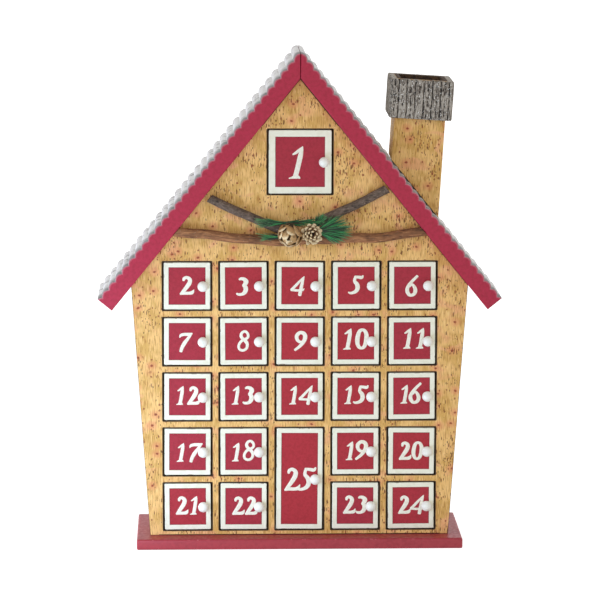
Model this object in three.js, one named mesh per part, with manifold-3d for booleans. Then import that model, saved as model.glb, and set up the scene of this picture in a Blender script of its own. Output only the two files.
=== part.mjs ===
// House-shaped wooden advent calendar with 25 hinged doors.
// Millimetres. X runs to the right, Y to the back, Z up.
// The origin is the centre of the base board's underside.

import * as THREE from 'three';
import { mergeVertices } from 'three/addons/utils/BufferGeometryUtils.js';
import Module from 'manifold-3d';

const wasm = await Module();
wasm.setup();

// Door grid
const COLUMNS = 5;
const ROWS = 5;
const OPENING_SIZE = 44;
const BAR_WIDTH = 6.5;
const BOTTOM_RAIL = 4.4;
const SIDE_RAIL = 12;
const CORNER_RAIL = 12.8;
const GABLE_OPENING_SIZE = 58.4;
const GABLE_RAIL = 9.9;

// House shell
const HOUSE_DEPTH = 78;
const WALL_LEAN_DEG = 4;
const ROOF_SLOPE_DEG = 51;
const FRONT_PANEL_THICKNESS = 4;
const BACK_PANEL_THICKNESS = 3;
const WALL_THICKNESS = 4;
const SEAT_GAP = 0.3;

// Base board
const BASE_THICKNESS = 9.6;
const BASE_SIDE_LIP = 12;
const BASE_FRONT_LIP = 18;
const BASE_BACK_LIP = 8;
const BASE_CHAMFER = 0.8;

// Shelves and dividers
const FLOOR_THICKNESS = 4;
const SHELF_THICKNESS = 3;
const SLOT_CLEARANCE = 0.3;

// Roof boards
const EAVE_OVERHANG = 27.3;
const ROOF_FRONT_OVERHANG = 8;
const ROOF_BACK_OVERHANG = 2;
const ROOF_THICKNESS = 14.2;
const REED_PITCH = 9.35;
const REED_HEIGHT = 2.2;
const REED_STEPS = 5;
const RIDGE_JOINT = 0.5;

// Chimney
const CHIMNEY_FROM_EAVE = 123.4;
const CHIMNEY_LEAN_DEG = 3.5;
const CHIMNEY_HEIGHT = 98.3;
const SHAFT_WIDTH = 45.4;
const SHAFT_DEPTH = 47;
const SHAFT_WALL = 4;
const CAP_HEIGHT = 35;
const CAP_WALL = 5.5;
const CAP_RIB_PITCH = 3.76;
const CAP_GROOVE_DEPTH = 0.9;
const CAP_RIB_PROFILE = [[0, 1], [0.22, 0.15], [0.5, 0], [0.78, 0.15]];

// Doors
const DOOR_THICKNESS = 4;
const DOOR_SIDE_GAP = 1.2;
const DOOR_END_GAP = 0.8;
const DOOR_FRAME_WIDTH = 4.4;
const GABLE_DOOR_FRAME_WIDTH = 6.3;
const DOOR_FIELD_DEPTH = 0.4;
const HINGE_STEPS = 6;
const PIN_RADIUS = 0.7;
const PIN_REACH = 3.2;
const PIN_CLEARANCE = 0.3;
const PIN_ROOT = 1.5;
const PIN_SIDES = 6;
const KNOB_RADIUS = 5;
const KNOB_PROJECTION = 8;
const KNOB_EDGE_DISTANCE = 7.6;
const KNOB_ROOT = 0.6;
const KNOB_SIDES = 10;
const KNOB_RINGS = 4;

// Garland of twigs, needles and cones
const GARLAND_GAP = 0.15;
const LOWER_TWIG_RADIUS = 4.5;
const LOWER_TWIG_DROP = 10.4;
const LOWER_TWIG_RISE = 8;
const UPPER_TWIG_RADIUS = 4.2;
const UPPER_TWIG_ROOT_X = 17;
const UPPER_TWIG_SAG = 0.8;
const LEFT_TWIG = { side: -1, slopeDeg: 24.4, overLower: 0.5, roofGap: 4.5 };
const RIGHT_TWIG = { side: 1, slopeDeg: 25.5, overLower: 8.5, roofGap: 2.1 };
const TWIG_SIDES = 8;
const TWIG_STEPS = 14;
const TWIG_UNEVENNESS = 0.05;
const STEM_RADIUS = 1.6;
const STEM_SIDES = 8;
const NEEDLE_RADIUS = 0.9;
const NEEDLE_TIP_RADIUS = 0.2;
const NEEDLE_SPREAD = 0.5;
const OUTER_NEEDLE_SHARE = 0.64;
const NEEDLE_RIPPLE = 0.04;
const LEFT_NEEDLE_LENGTH = 27;
const RIGHT_NEEDLE_LENGTH = 32;
const LEFT_STEMS = [
  { from: [-3, 5.5], to: [13, 5.5] },
  { from: [7, 6], to: [12.5, -12.3] },
];
const LEFT_TUFTS = [
  { root: [12.5, 5.5], low: -7, high: 9, length: LEFT_NEEDLE_LENGTH, count: 7 },
  { root: [11.2, -5.5], low: -7, high: 6, length: LEFT_NEEDLE_LENGTH, count: 5 },
];
const RIGHT_STEMS = [
  { from: [4, -3], to: [17, -1.5] },
  { from: [12.5, -2.2], to: [10.5, -12.6] },
];
const RIGHT_TUFTS = [
  { root: [15.5, -1.6], low: -42, high: 30, length: RIGHT_NEEDLE_LENGTH, count: 12 },
];

const CONE_DEPTH = 11.5;
const CONE_SCALE_WIDTH = 0.62;
const CONE_SCALE_THICKNESS = 1.5;
const CONE_CORE = 0.55;
const CONE_CORE_HEIGHT = 0.9;
const CONE_CORE_SIDES = 8;
const CONE_CORE_RINGS = 3;
const CONE_RINGS = [
  { count: 8, tilt: 10, seat: 0.14, reach: 1 },
  { count: 7, tilt: 30, seat: 0.32, reach: 0.84 },
  { count: 5, tilt: 52, seat: 0.45, reach: 0.56 },
  { count: 2, tilt: 72, seat: 0.58, reach: 0.24 },
];
const LEFT_CONE = { x: -9.4, drop: 4.2, radius: 10 };
const RIGHT_CONE = { x: 10.9, drop: 4, radius: 9.8 };

// Derived sizes
const lean = THREE.MathUtils.degToRad(WALL_LEAN_DEG);
const slope = THREE.MathUtils.degToRad(ROOF_SLOPE_DEG);
const pitch = OPENING_SIZE + BAR_WIDTH;
const gridWidth = COLUMNS * OPENING_SIZE + (COLUMNS - 1) * BAR_WIDTH;
const gridBottom = BASE_THICKNESS + BOTTOM_RAIL;
const gridTop = gridBottom + ROWS * OPENING_SIZE + (ROWS - 1) * BAR_WIDTH;
const footHalf = gridWidth / 2 + SIDE_RAIL;
const apexHeight = gridTop + CORNER_RAIL + gridWidth / 2 * Math.tan(slope);
const gableTop = apexHeight - GABLE_OPENING_SIZE / 2 * Math.tan(slope) - GABLE_RAIL;
const gableBottom = gableTop - GABLE_OPENING_SIZE;
const baseDepth = BASE_FRONT_LIP + HOUSE_DEPTH + BASE_BACK_LIP;
const panelFront = BASE_FRONT_LIP - baseDepth / 2;
const panelBack = panelFront + FRONT_PANEL_THICKNESS;
const houseBack = panelFront + HOUSE_DEPTH;
const backPanelFront = houseBack - BACK_PANEL_THICKNESS;
const interiorDepth = backPanelFront - panelBack;
const roofFront = panelFront - ROOF_FRONT_OVERHANG;
const roofDepth = ROOF_FRONT_OVERHANG + HOUSE_DEPTH + ROOF_BACK_OVERHANG;
const floorTop = BASE_THICKNESS + FLOOR_THICKNESS;
const garlandHeight = (gridTop + gableBottom) / 2;
const twigLayer = panelFront - GARLAND_GAP - LOWER_TWIG_RADIUS;
const sprigLayer = twigLayer - LOWER_TWIG_RADIUS - GARLAND_GAP - STEM_RADIUS;
const coneBack = sprigLayer - STEM_RADIUS - GARLAND_GAP;

// A finish as a standard material
function finish(color, roughness, metalness = 0) {
  return new THREE.MeshStandardMaterial({ color, roughness, metalness });
}

const finishes = {
  corkPrint: () => finish(0xcda569, 0.62),
  bareBoard: () => finish(0xb08a5e, 0.85),
  redPaint: () => finish(0xb43250, 0.55),
  doorPaint: () => finish(0xefeee6, 0.5),
  bark: () => finish(0x7d7268, 0.9),
  twig: () => finish(0x66503f, 0.9),
  needles: () => finish(0x1c6e3c, 0.6),
  cone: () => finish(0xa98458, 0.85),
};

const calendar = new THREE.Group();

function addPiece(name, geometry, material, parent = calendar) {
  const mesh = new THREE.Mesh(geometry, material);
  mesh.name = name;
  parent.add(mesh);
  return mesh;
}

// Turns a closed geometry into a solid for joining and cutting
function solidOf(geometry) {
  const plain = geometry.clone();
  plain.deleteAttribute('normal');
  plain.deleteAttribute('uv');
  const merged = mergeVertices(plain, 1e-4);
  return new wasm.Manifold(new wasm.Mesh({
    numProp: 3,
    vertProperties: new Float32Array(merged.attributes.position.array),
    triVerts: new Uint32Array(merged.index.array),
  }));
}

function geometryOf(solid) {
  const mesh = solid.getMesh();
  const geometry = new THREE.BufferGeometry();
  geometry.setAttribute('position', new THREE.BufferAttribute(new Float32Array(mesh.vertProperties), 3));
  geometry.setIndex(new THREE.BufferAttribute(new Uint32Array(mesh.triVerts), 1));
  geometry.computeVertexNormals();
  return geometry;
}

function joined(first, others) {
  return geometryOf(others.reduce((solid, other) => solid.add(solidOf(other)), solidOf(first)));
}

function cutBy(first, others) {
  return geometryOf(others.reduce((solid, other) => solid.subtract(solidOf(other)), solidOf(first)));
}

function shapeOf(points) {
  return new THREE.Shape(points.map(([x, y]) => new THREE.Vector2(x, y)));
}

// A flat board: an outline in X and Z, extruded from front to back
function board(points, thickness) {
  const geometry = new THREE.ExtrudeGeometry(shapeOf(points), { depth: thickness, bevelEnabled: false });
  geometry.rotateX(Math.PI / 2);
  geometry.translate(0, thickness, 0);
  return geometry;
}

function block(low, high) {
  const size = high.map((value, axis) => value - low[axis]);
  const geometry = new THREE.BoxGeometry(...size);
  geometry.translate(...high.map((value, axis) => (value + low[axis]) / 2));
  return geometry;
}

// Height of the roof boards' underside, less a distance square to it
function undersideAt(x, inset = 0) {
  return apexHeight - inset / Math.cos(slope) - Math.abs(x) * Math.tan(slope);
}

// Half width of the house at a height, less a distance square to the wall
function wallAt(z, inset = 0) {
  return footHalf + (z - BASE_THICKNESS) * Math.tan(lean) - inset / Math.cos(lean);
}

// The corner where a wall line and a roof line meet
function shoulder(wallInset, roofInset) {
  const wallAtZero = wallAt(0, wallInset);
  const z = (undersideAt(0, roofInset) - Math.tan(slope) * wallAtZero)
    / (1 + Math.tan(slope) * Math.tan(lean));
  return [wallAt(z, wallInset), z];
}

// Half width between the walls or the roof boards, whichever is closer
function clearHalfAt(z) {
  const betweenWalls = wallAt(z, WALL_THICKNESS + SEAT_GAP);
  const betweenRoofs = (undersideAt(0, SEAT_GAP) - z) / Math.tan(slope);
  return Math.min(betweenWalls, betweenRoofs);
}

function houseOutline() {
  const [shoulderX, shoulderZ] = shoulder(0, SEAT_GAP);
  return [
    [-footHalf, BASE_THICKNESS],
    [footHalf, BASE_THICKNESS],
    [shoulderX, shoulderZ],
    [0, undersideAt(0, SEAT_GAP)],
    [-shoulderX, shoulderZ],
  ];
}

// Where each numbered door sits: centre, width and height of its opening
function doorPlaces() {
  const columnX = (column) => (column - (COLUMNS - 1) / 2) * pitch;
  const rowZ = (row) => gridTop - OPENING_SIZE / 2 - row * pitch;
  const middle = (COLUMNS - 1) / 2;
  const lastRow = ROWS - 1;
  const places = [{
    x: 0,
    z: (gableTop + gableBottom) / 2,
    width: GABLE_OPENING_SIZE,
    height: GABLE_OPENING_SIZE,
    frame: GABLE_DOOR_FRAME_WIDTH,
  }];
  for (let row = 0; row < ROWS; row += 1) {
    for (let column = 0; column < COLUMNS; column += 1) {
      const inTallDoor = column === middle && row >= lastRow - 1;
      if (!inTallDoor) {
        places.push({
          x: columnX(column),
          z: rowZ(row),
          width: OPENING_SIZE,
          height: OPENING_SIZE,
          frame: DOOR_FRAME_WIDTH,
        });
      }
    }
  }
  places.push({
    x: columnX(middle),
    z: (rowZ(lastRow) + rowZ(lastRow - 1)) / 2,
    width: OPENING_SIZE,
    height: OPENING_SIZE + pitch,
    frame: DOOR_FRAME_WIDTH,
  });
  return places.map((place, index) => ({ ...place, number: index + 1 }));
}

function hingeX(place) {
  return place.x - place.width / 2 + DOOR_SIDE_GAP + DOOR_THICKNESS / 2;
}

function addBase() {
  const halfWidth = footHalf + BASE_SIDE_LIP - BASE_CHAMFER;
  const halfDepth = baseDepth / 2 - BASE_CHAMFER;
  const outline = shapeOf([
    [-halfWidth, -halfDepth],
    [halfWidth, -halfDepth],
    [halfWidth, halfDepth],
    [-halfWidth, halfDepth],
  ]);
  const geometry = new THREE.ExtrudeGeometry(outline, {
    depth: BASE_THICKNESS - 2 * BASE_CHAMFER,
    bevelThickness: BASE_CHAMFER,
    bevelSize: BASE_CHAMFER,
    bevelSegments: 1,
  });
  geometry.translate(0, 0, BASE_CHAMFER);
  addPiece('base_plate', geometry, finishes.redPaint());
}

// The front sheet: one opening for each door, with a blind hole for each hinge pin
function addFrontPanel(places) {
  const openings = places.map(({ x, z, width, height }) => block(
    [x - width / 2, -1, z - height / 2],
    [x + width / 2, FRONT_PANEL_THICKNESS + 1, z + height / 2]));
  const holeReach = PIN_REACH - DOOR_END_GAP + PIN_CLEARANCE;
  const pinHoles = places.map((place) => {
    const length = place.height + 2 * holeReach;
    const hole = new THREE.CylinderGeometry(
      PIN_RADIUS + PIN_CLEARANCE, PIN_RADIUS + PIN_CLEARANCE, length, PIN_SIDES);
    hole.rotateX(Math.PI / 2);
    hole.translate(hingeX(place), FRONT_PANEL_THICKNESS / 2, place.z);
    return hole;
  });
  const sheet = cutBy(board(houseOutline(), FRONT_PANEL_THICKNESS), [...openings, ...pinHoles]);
  const panel = addPiece('front_panel', sheet, finishes.corkPrint());
  panel.position.y = panelFront;
}

function addBackPanel() {
  const panel = addPiece('back_panel', board(houseOutline(), BACK_PANEL_THICKNESS), finishes.bareBoard());
  panel.position.y = backPanelFront;
}

function addWalls() {
  const outline = [
    [footHalf, BASE_THICKNESS],
    shoulder(0, SEAT_GAP),
    shoulder(WALL_THICKNESS, SEAT_GAP),
    [wallAt(BASE_THICKNESS, WALL_THICKNESS), BASE_THICKNESS],
  ];
  const mirrored = outline.map(([x, z]) => [-x, z]);
  for (const [name, points] of [['right_wall', outline], ['left_wall', mirrored]]) {
    const wall = addPiece(name, board(points, interiorDepth), finishes.corkPrint());
    wall.position.y = panelBack;
  }
}

// A level board between two heights, cut at its ends to the lean of what it meets
function levelOutline(low, high, leftEnd, rightEnd) {
  return [
    [leftEnd(low), low],
    [rightEnd(low), low],
    [rightEnd(high), high],
    [leftEnd(high), high],
  ];
}

const fromWall = (z) => -clearHalfAt(z);
const toWall = (z) => clearHalfAt(z);

// Upright dividers stand behind the bars between the columns
function dividerCentres() {
  const centres = [];
  for (let bar = 1; bar < COLUMNS; bar += 1) {
    centres.push((bar - COLUMNS / 2) * pitch);
  }
  return centres;
}

// The bar under a row, counted from the top
function barHeight(row) {
  return gridTop - (row + 1) * pitch + BAR_WIDTH / 2;
}

// A shelf with a slot from the back for each divider that crosses it
function addShelf(name, centre, leftEnd, rightEnd, crossing) {
  const low = centre - SHELF_THICKNESS / 2;
  const high = centre + SHELF_THICKNESS / 2;
  const plain = board(levelOutline(low, high, leftEnd, rightEnd), interiorDepth);
  const halfSlot = SHELF_THICKNESS / 2 + SLOT_CLEARANCE;
  const slots = crossing.map((x) => block(
    [x - halfSlot, interiorDepth / 2, low - 1],
    [x + halfSlot, interiorDepth + 1, high + 1]));
  const shelf = addPiece(name, cutBy(plain, slots), finishes.bareBoard());
  shelf.position.y = panelBack;
}

// A divider with a slot from the front for each shelf that crosses it
function addDivider(name, centre, bottom, top, crossing) {
  const low = centre - SHELF_THICKNESS / 2;
  const high = centre + SHELF_THICKNESS / 2;
  const plain = block([low, 0, bottom], [high, interiorDepth, top]);
  const halfSlot = SHELF_THICKNESS / 2 + SLOT_CLEARANCE;
  const slots = crossing.map((z) => block(
    [low - 1, -1, z - halfSlot],
    [high + 1, interiorDepth / 2 + SLOT_CLEARANCE, z + halfSlot]));
  const divider = addPiece(name, cutBy(plain, slots), finishes.bareBoard());
  divider.position.y = panelBack;
}

// The half-lapped grid of shelves and dividers behind the doors
function addEggCrate() {
  const floor = board(levelOutline(BASE_THICKNESS, floorTop, fromWall, toWall), interiorDepth);
  addPiece('floor_board', floor, finishes.bareBoard()).position.y = panelBack;

  const centres = dividerCentres();
  const lowestBar = ROWS - 2;
  for (let row = 0; row < lowestBar; row += 1) {
    addShelf(`shelf_${row + 1}`, barHeight(row), fromWall, toWall, centres);
  }
  const innerFace = Math.abs(centres[1]) + SHELF_THICKNESS / 2 + SEAT_GAP;
  const shortName = `shelf_${lowestBar + 1}`;
  addShelf(`${shortName}_left`, barHeight(lowestBar), fromWall, () => -innerFace, [centres[0]]);
  addShelf(`${shortName}_right`, barHeight(lowestBar), () => innerFace, toWall, [centres[COLUMNS - 2]]);

  const topCentre = gridTop + BAR_WIDTH / 2;
  addShelf('top_shelf', topCentre, fromWall, toWall, []);

  const dividerTop = topCentre - SHELF_THICKNESS / 2;
  centres.forEach((x, index) => {
    const besideTallDoor = index === 1 || index === COLUMNS - 3;
    const crossing = [];
    for (let row = 0; row <= lowestBar; row += 1) {
      if (row < lowestBar || !besideTallDoor) {
        crossing.push(barHeight(row));
      }
    }
    addDivider(`divider_${index + 1}`, x, floorTop, dividerTop, crossing);
  });
}

// The box behind the door in the gable
function addGableBox() {
  const setback = (BAR_WIDTH - SHELF_THICKNESS) / 2;
  const shelfTop = gableBottom - setback;
  addShelf('gable_shelf', shelfTop - SHELF_THICKNESS / 2, fromWall, toWall, []);
  const inner = GABLE_OPENING_SIZE / 2 + setback;
  const outer = inner + SHELF_THICKNESS;
  for (const [name, side] of [['gable_cheek_left', -1], ['gable_cheek_right', 1]]) {
    const outline = [
      [side * inner, shelfTop],
      [side * outer, shelfTop],
      [side * outer, undersideAt(outer, SEAT_GAP)],
      [side * inner, undersideAt(inner, SEAT_GAP)],
    ];
    const cheek = addPiece(name, board(outline, interiorDepth), finishes.bareBoard());
    cheek.position.y = panelBack;
  }
}

// Outline of the right roof board, with its rounded reeds along the top
function roofOutline() {
  const along = [Math.cos(slope), -Math.sin(slope)];
  const outward = [Math.sin(slope), Math.cos(slope)];
  const at = (distance, rise) => [
    distance * along[0] + rise * outward[0],
    apexHeight + distance * along[1] + rise * outward[1],
  ];
  const ridgeAt = (rise) => (RIDGE_JOINT / 2 - rise * outward[0]) / along[0];
  const reedRise = (distance, start) => {
    const share = ((distance - start) / REED_PITCH) % 1;
    return ROOF_THICKNESS + REED_HEIGHT * (1 - (2 * share - 1) ** 2);
  };
  const length = roofLength();
  const start = ridgeAt(ROOF_THICKNESS);
  const step = REED_PITCH / REED_STEPS;
  const points = [at(ridgeAt(0), 0), at(start, ROOF_THICKNESS)];
  for (let index = 1; start + index * step < length - step / 2; index += 1) {
    const distance = start + index * step;
    const inGroove = index % REED_STEPS === 0;
    points.push(at(distance, inGroove ? ROOF_THICKNESS : reedRise(distance, start)));
  }
  points.push(at(length, reedRise(length, start)));
  points.push(at(length, 0));
  return points;
}

function roofLength() {
  return shoulder(0, 0)[0] / Math.cos(slope) + EAVE_OVERHANG;
}

function addRoof() {
  const outline = roofOutline();
  const mirrored = outline.map(([x, z]) => [-x, z]);
  for (const [name, points] of [['roof_board_right', outline], ['roof_board_left', mirrored]]) {
    const roof = addPiece(name, board(points, roofDepth), finishes.redPaint());
    roof.position.y = roofFront;
  }
}

// One edge of the cap's outline: ribs with grooves between them
function ribbedEdge(from, to, outward) {
  const edge = new THREE.Vector2().subVectors(to, from);
  const count = Math.round(edge.length() / CAP_RIB_PITCH);
  const points = [];
  for (let rib = 0; rib < count; rib += 1) {
    for (const [share, depth] of CAP_RIB_PROFILE) {
      const point = from.clone().addScaledVector(edge, (rib + share) / count);
      const isCorner = rib === 0 && share === 0;
      points.push(isCorner ? point : point.addScaledVector(outward, -depth * CAP_GROOVE_DEPTH));
    }
  }
  return points;
}

function capOutline(halfWidth, halfDepth) {
  const corners = [
    new THREE.Vector2(-halfWidth, -halfDepth),
    new THREE.Vector2(halfWidth, -halfDepth),
    new THREE.Vector2(halfWidth, halfDepth),
    new THREE.Vector2(-halfWidth, halfDepth),
  ];
  return corners.flatMap((corner, index) => {
    const next = corners[(index + 1) % corners.length];
    const direction = new THREE.Vector2().subVectors(next, corner).normalize();
    return ribbedEdge(corner, next, new THREE.Vector2(direction.y, -direction.x));
  });
}

function rectanglePath(halfWidth, halfDepth) {
  return shapeOf([
    [-halfWidth, -halfDepth],
    [halfWidth, -halfDepth],
    [halfWidth, halfDepth],
    [-halfWidth, halfDepth],
  ]);
}

// A leaning shaft of four boards that stands on the reeds, with a ribbed band round its top
function addChimney() {
  const rise = ROOF_THICKNESS + REED_HEIGHT + SEAT_GAP;
  const distance = roofLength() - CHIMNEY_FROM_EAVE;
  const chimneyLean = THREE.MathUtils.degToRad(CHIMNEY_LEAN_DEG);
  const chimney = new THREE.Group();
  chimney.position.set(
    distance * Math.cos(slope) + rise * Math.sin(slope),
    roofFront + roofDepth / 2,
    apexHeight - distance * Math.sin(slope) + rise * Math.cos(slope));
  chimney.rotation.y = chimneyLean;
  calendar.add(chimney);

  // Everything under the tops of the reeds, in the chimney's own frame
  const reach = 4 * SHAFT_WIDTH;
  const roofSpace = block([-reach, -reach, -2 * reach], [reach, reach, 0]);
  roofSpace.rotateY(slope - chimneyLean);

  const halfWidth = SHAFT_WIDTH / 2;
  const halfDepth = SHAFT_DEPTH / 2;
  const sideFront = SHAFT_WALL - halfDepth + SEAT_GAP;
  const boards = {
    chimney_front: [[-halfWidth, -halfDepth], [halfWidth, SHAFT_WALL - halfDepth]],
    chimney_back: [[-halfWidth, halfDepth - SHAFT_WALL], [halfWidth, halfDepth]],
    chimney_left: [[-halfWidth, sideFront], [SHAFT_WALL - halfWidth, -sideFront]],
    chimney_right: [[halfWidth - SHAFT_WALL, sideFront], [halfWidth, -sideFront]],
  };
  for (const [name, [low, high]] of Object.entries(boards)) {
    const tall = block([...low, -reach], [...high, CHIMNEY_HEIGHT]);
    addPiece(name, cutBy(tall, [roofSpace]), finishes.corkPrint(), chimney);
  }

  const innerWidth = halfWidth + SEAT_GAP;
  const innerDepth = halfDepth + SEAT_GAP;
  const outline = new THREE.Shape(capOutline(innerWidth + CAP_WALL, innerDepth + CAP_WALL));
  outline.holes = [rectanglePath(innerWidth, innerDepth)];
  const cap = new THREE.ExtrudeGeometry(outline, { depth: CAP_HEIGHT, bevelEnabled: false });
  addPiece('chimney_cap', cap, finishes.bark(), chimney).position.z = CHIMNEY_HEIGHT - CAP_HEIGHT;
}

// A ball cut flat at the back, whose axis points forwards from the door
function knob(seatY) {
  const centre = KNOB_PROJECTION - KNOB_RADIUS;
  const seatRadius = Math.sqrt(KNOB_RADIUS ** 2 - centre ** 2);
  const startAngle = Math.acos(-centre / KNOB_RADIUS);
  const profile = [new THREE.Vector2(0, -KNOB_ROOT), new THREE.Vector2(seatRadius, -KNOB_ROOT)];
  for (let ring = 0; ring <= KNOB_RINGS; ring += 1) {
    const angle = startAngle * (1 - ring / KNOB_RINGS);
    const radius = ring === KNOB_RINGS ? 0 : KNOB_RADIUS * Math.sin(angle);
    profile.push(new THREE.Vector2(radius, centre + KNOB_RADIUS * Math.cos(angle)));
  }
  const geometry = new THREE.LatheGeometry(profile, KNOB_SIDES);
  geometry.rotateX(Math.PI);
  geometry.translate(0, seatY, 0);
  return geometry;
}

// A door leaf about its hinge axis, with a rounded hinge edge, two pins and a knob
function doorGeometry(place) {
  const half = DOOR_THICKNESS / 2;
  const width = place.width - 2 * DOOR_SIDE_GAP;
  const height = place.height - 2 * DOOR_END_GAP;
  const right = width - half;
  const plan = [[right, -half], [right, half]];
  for (let step = 0; step <= HINGE_STEPS; step += 1) {
    const angle = Math.PI * (0.5 + step / HINGE_STEPS);
    plan.push([half * Math.cos(angle), half * Math.sin(angle)]);
  }
  const leaf = new THREE.ExtrudeGeometry(shapeOf(plan), { depth: height, bevelEnabled: false });
  leaf.translate(0, 0, -height / 2);
  const field = block(
    [place.frame - half, -half - 1, place.frame - height / 2],
    [right - place.frame, DOOR_FIELD_DEPTH - half, height / 2 - place.frame]);
  const pins = [-1, 1].map((side) => {
    const pin = new THREE.CylinderGeometry(PIN_RADIUS, PIN_RADIUS, PIN_REACH + PIN_ROOT, PIN_SIDES);
    pin.rotateX(Math.PI / 2);
    pin.translate(0, 0, side * (height + PIN_REACH - PIN_ROOT) / 2);
    return pin;
  });
  const ball = knob(-half);
  ball.translate(right - KNOB_EDGE_DISTANCE, 0, 0);
  return joined(cutBy(leaf, [field]), [...pins, ball]);
}

function addDoors(places) {
  for (const place of places) {
    const name = `door_${String(place.number).padStart(2, '0')}`;
    const door = addPiece(name, doorGeometry(place), finishes.doorPaint());
    door.position.set(hingeX(place), panelFront + DOOR_THICKNESS / 2, place.z);
  }
}

// A round stick along a curve, with a slightly uneven section
function stick(points, radius) {
  const section = new THREE.Shape();
  for (let side = 0; side < TWIG_SIDES; side += 1) {
    const angle = side / TWIG_SIDES * 2 * Math.PI;
    const bump = radius * (1 - TWIG_UNEVENNESS * (side % 2));
    const corner = [bump * Math.cos(angle), bump * Math.sin(angle)];
    if (side === 0) {
      section.moveTo(...corner);
    } else {
      section.lineTo(...corner);
    }
  }
  const path = new THREE.CatmullRomCurve3(points.map((point) => new THREE.Vector3(...point)));
  return new THREE.ExtrudeGeometry(section, { steps: TWIG_STEPS, extrudePath: path });
}

// The roof board's space and a gap under it, which a twig's end is cut to
function roofSpace(side, gap) {
  const reach = 2 * apexHeight;
  const space = block([-reach, -reach, 0], [reach, reach, reach]);
  space.rotateY(side * slope);
  space.translate(0, 0, undersideAt(0, gap));
  return space;
}

// Points of an upper twig, from its root over the lower twig up to the roof board's underside
function upperTwigPoints({ side, slopeDeg, overLower }) {
  const climb = Math.tan(THREE.MathUtils.degToRad(slopeDeg));
  const lowerTop = garlandHeight - LOWER_TWIG_DROP + LOWER_TWIG_RADIUS;
  const root = lowerTop + overLower + UPPER_TWIG_RADIUS;
  const tipX = (apexHeight - root + climb * UPPER_TWIG_ROOT_X) / (Math.tan(slope) + climb);
  return [0, 0.33, 0.66, 1].map((share) => {
    const run = share * (tipX - UPPER_TWIG_ROOT_X);
    return [
      side * (UPPER_TWIG_ROOT_X + run),
      panelFront - GARLAND_GAP - UPPER_TWIG_RADIUS,
      root + run * climb - UPPER_TWIG_SAG * Math.sin(Math.PI * share),
    ];
  });
}

function addTwigs() {
  const middle = garlandHeight - LOWER_TWIG_DROP;
  const end = middle + LOWER_TWIG_RISE;
  const span = (apexHeight - end) / Math.tan(slope);
  const lowerPoints = [-1, -0.66, -0.33, 0, 0.33, 0.66, 1].map((share) => [
    share * span,
    twigLayer,
    middle + LOWER_TWIG_RISE * share * share,
  ]);
  const roof = [roofSpace(-1, SEAT_GAP), roofSpace(1, SEAT_GAP)];
  addPiece('lower_twig', cutBy(stick(lowerPoints, LOWER_TWIG_RADIUS), roof), finishes.twig());

  const uppers = { upper_twig_left: LEFT_TWIG, upper_twig_right: RIGHT_TWIG };
  for (const [name, twig] of Object.entries(uppers)) {
    const whole = stick(upperTwigPoints(twig), UPPER_TWIG_RADIUS);
    addPiece(name, cutBy(whole, [roofSpace(twig.side, twig.roofGap)]), finishes.twig());
  }
}

// A straight round rod from its root to its tip
function rod(root, tip, rootRadius, tipRadius, sides) {
  const axis = new THREE.Vector3(...tip).sub(new THREE.Vector3(...root));
  const length = axis.length();
  const geometry = new THREE.CylinderGeometry(tipRadius, rootRadius, length, sides);
  geometry.translate(0, length / 2, 0);
  const up = new THREE.Vector3(0, 1, 0);
  geometry.applyQuaternion(new THREE.Quaternion().setFromUnitVectors(up, axis.normalize()));
  geometry.translate(...root);
  return geometry;
}

// Needles that fan out from one root, longest in the middle; angles are measured from the level
function tuft(side, { root, low, high, length, count }) {
  const needles = [];
  for (let index = 0; index < count; index += 1) {
    const share = index / (count - 1);
    const angle = THREE.MathUtils.degToRad(low + (high - low) * share);
    const fullness = OUTER_NEEDLE_SHARE + (1 - OUTER_NEEDLE_SHARE) * Math.sin(Math.PI * share);
    const reach = length * fullness * (1 - NEEDLE_RIPPLE + NEEDLE_RIPPLE * Math.sin(7 * index + 1));
    const x = side * (root[0] + reach * Math.cos(angle));
    const z = garlandHeight + root[1] + reach * Math.sin(angle);
    const layer = sprigLayer + NEEDLE_SPREAD * Math.cos(4 * index);
    needles.push(rod(
      [side * root[0], sprigLayer, garlandHeight + root[1]], [x, layer, z],
      NEEDLE_RADIUS, NEEDLE_TIP_RADIUS, 3));
  }
  return needles;
}

// A pine sprig: short stems behind the cones with a fan of needles at each end
function sprig(side, stems, tufts) {
  const end = ([x, z]) => [side * x, sprigLayer, garlandHeight + z];
  const rods = stems.map(({ from, to }) => rod(end(from), end(to), STEM_RADIUS, STEM_RADIUS, STEM_SIDES));
  const needles = tufts.flatMap((fan) => tuft(side, fan));
  return joined(rods[0], [...rods.slice(1), ...needles]);
}

function addSprigs() {
  addPiece('pine_sprig_left', sprig(-1, LEFT_STEMS, LEFT_TUFTS), finishes.needles());
  addPiece('pine_sprig_right', sprig(1, RIGHT_STEMS, RIGHT_TUFTS), finishes.needles());
}

// One flat scale of a cone: narrow at its root and rounded at its end
function coneScale(width, length) {
  const half = width / 2;
  const outline = shapeOf([
    [-0.4 * half, 0],
    [0.4 * half, 0],
    [half, 0.72 * length],
    [0.5 * half, length],
    [-0.5 * half, length],
    [-half, 0.72 * length],
  ]);
  const scale = new THREE.ExtrudeGeometry(outline, { depth: CONE_SCALE_THICKNESS, bevelEnabled: false });
  scale.rotateX(Math.PI / 2);
  scale.translate(0, CONE_SCALE_THICKNESS / 2, 0);
  return scale;
}

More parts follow.
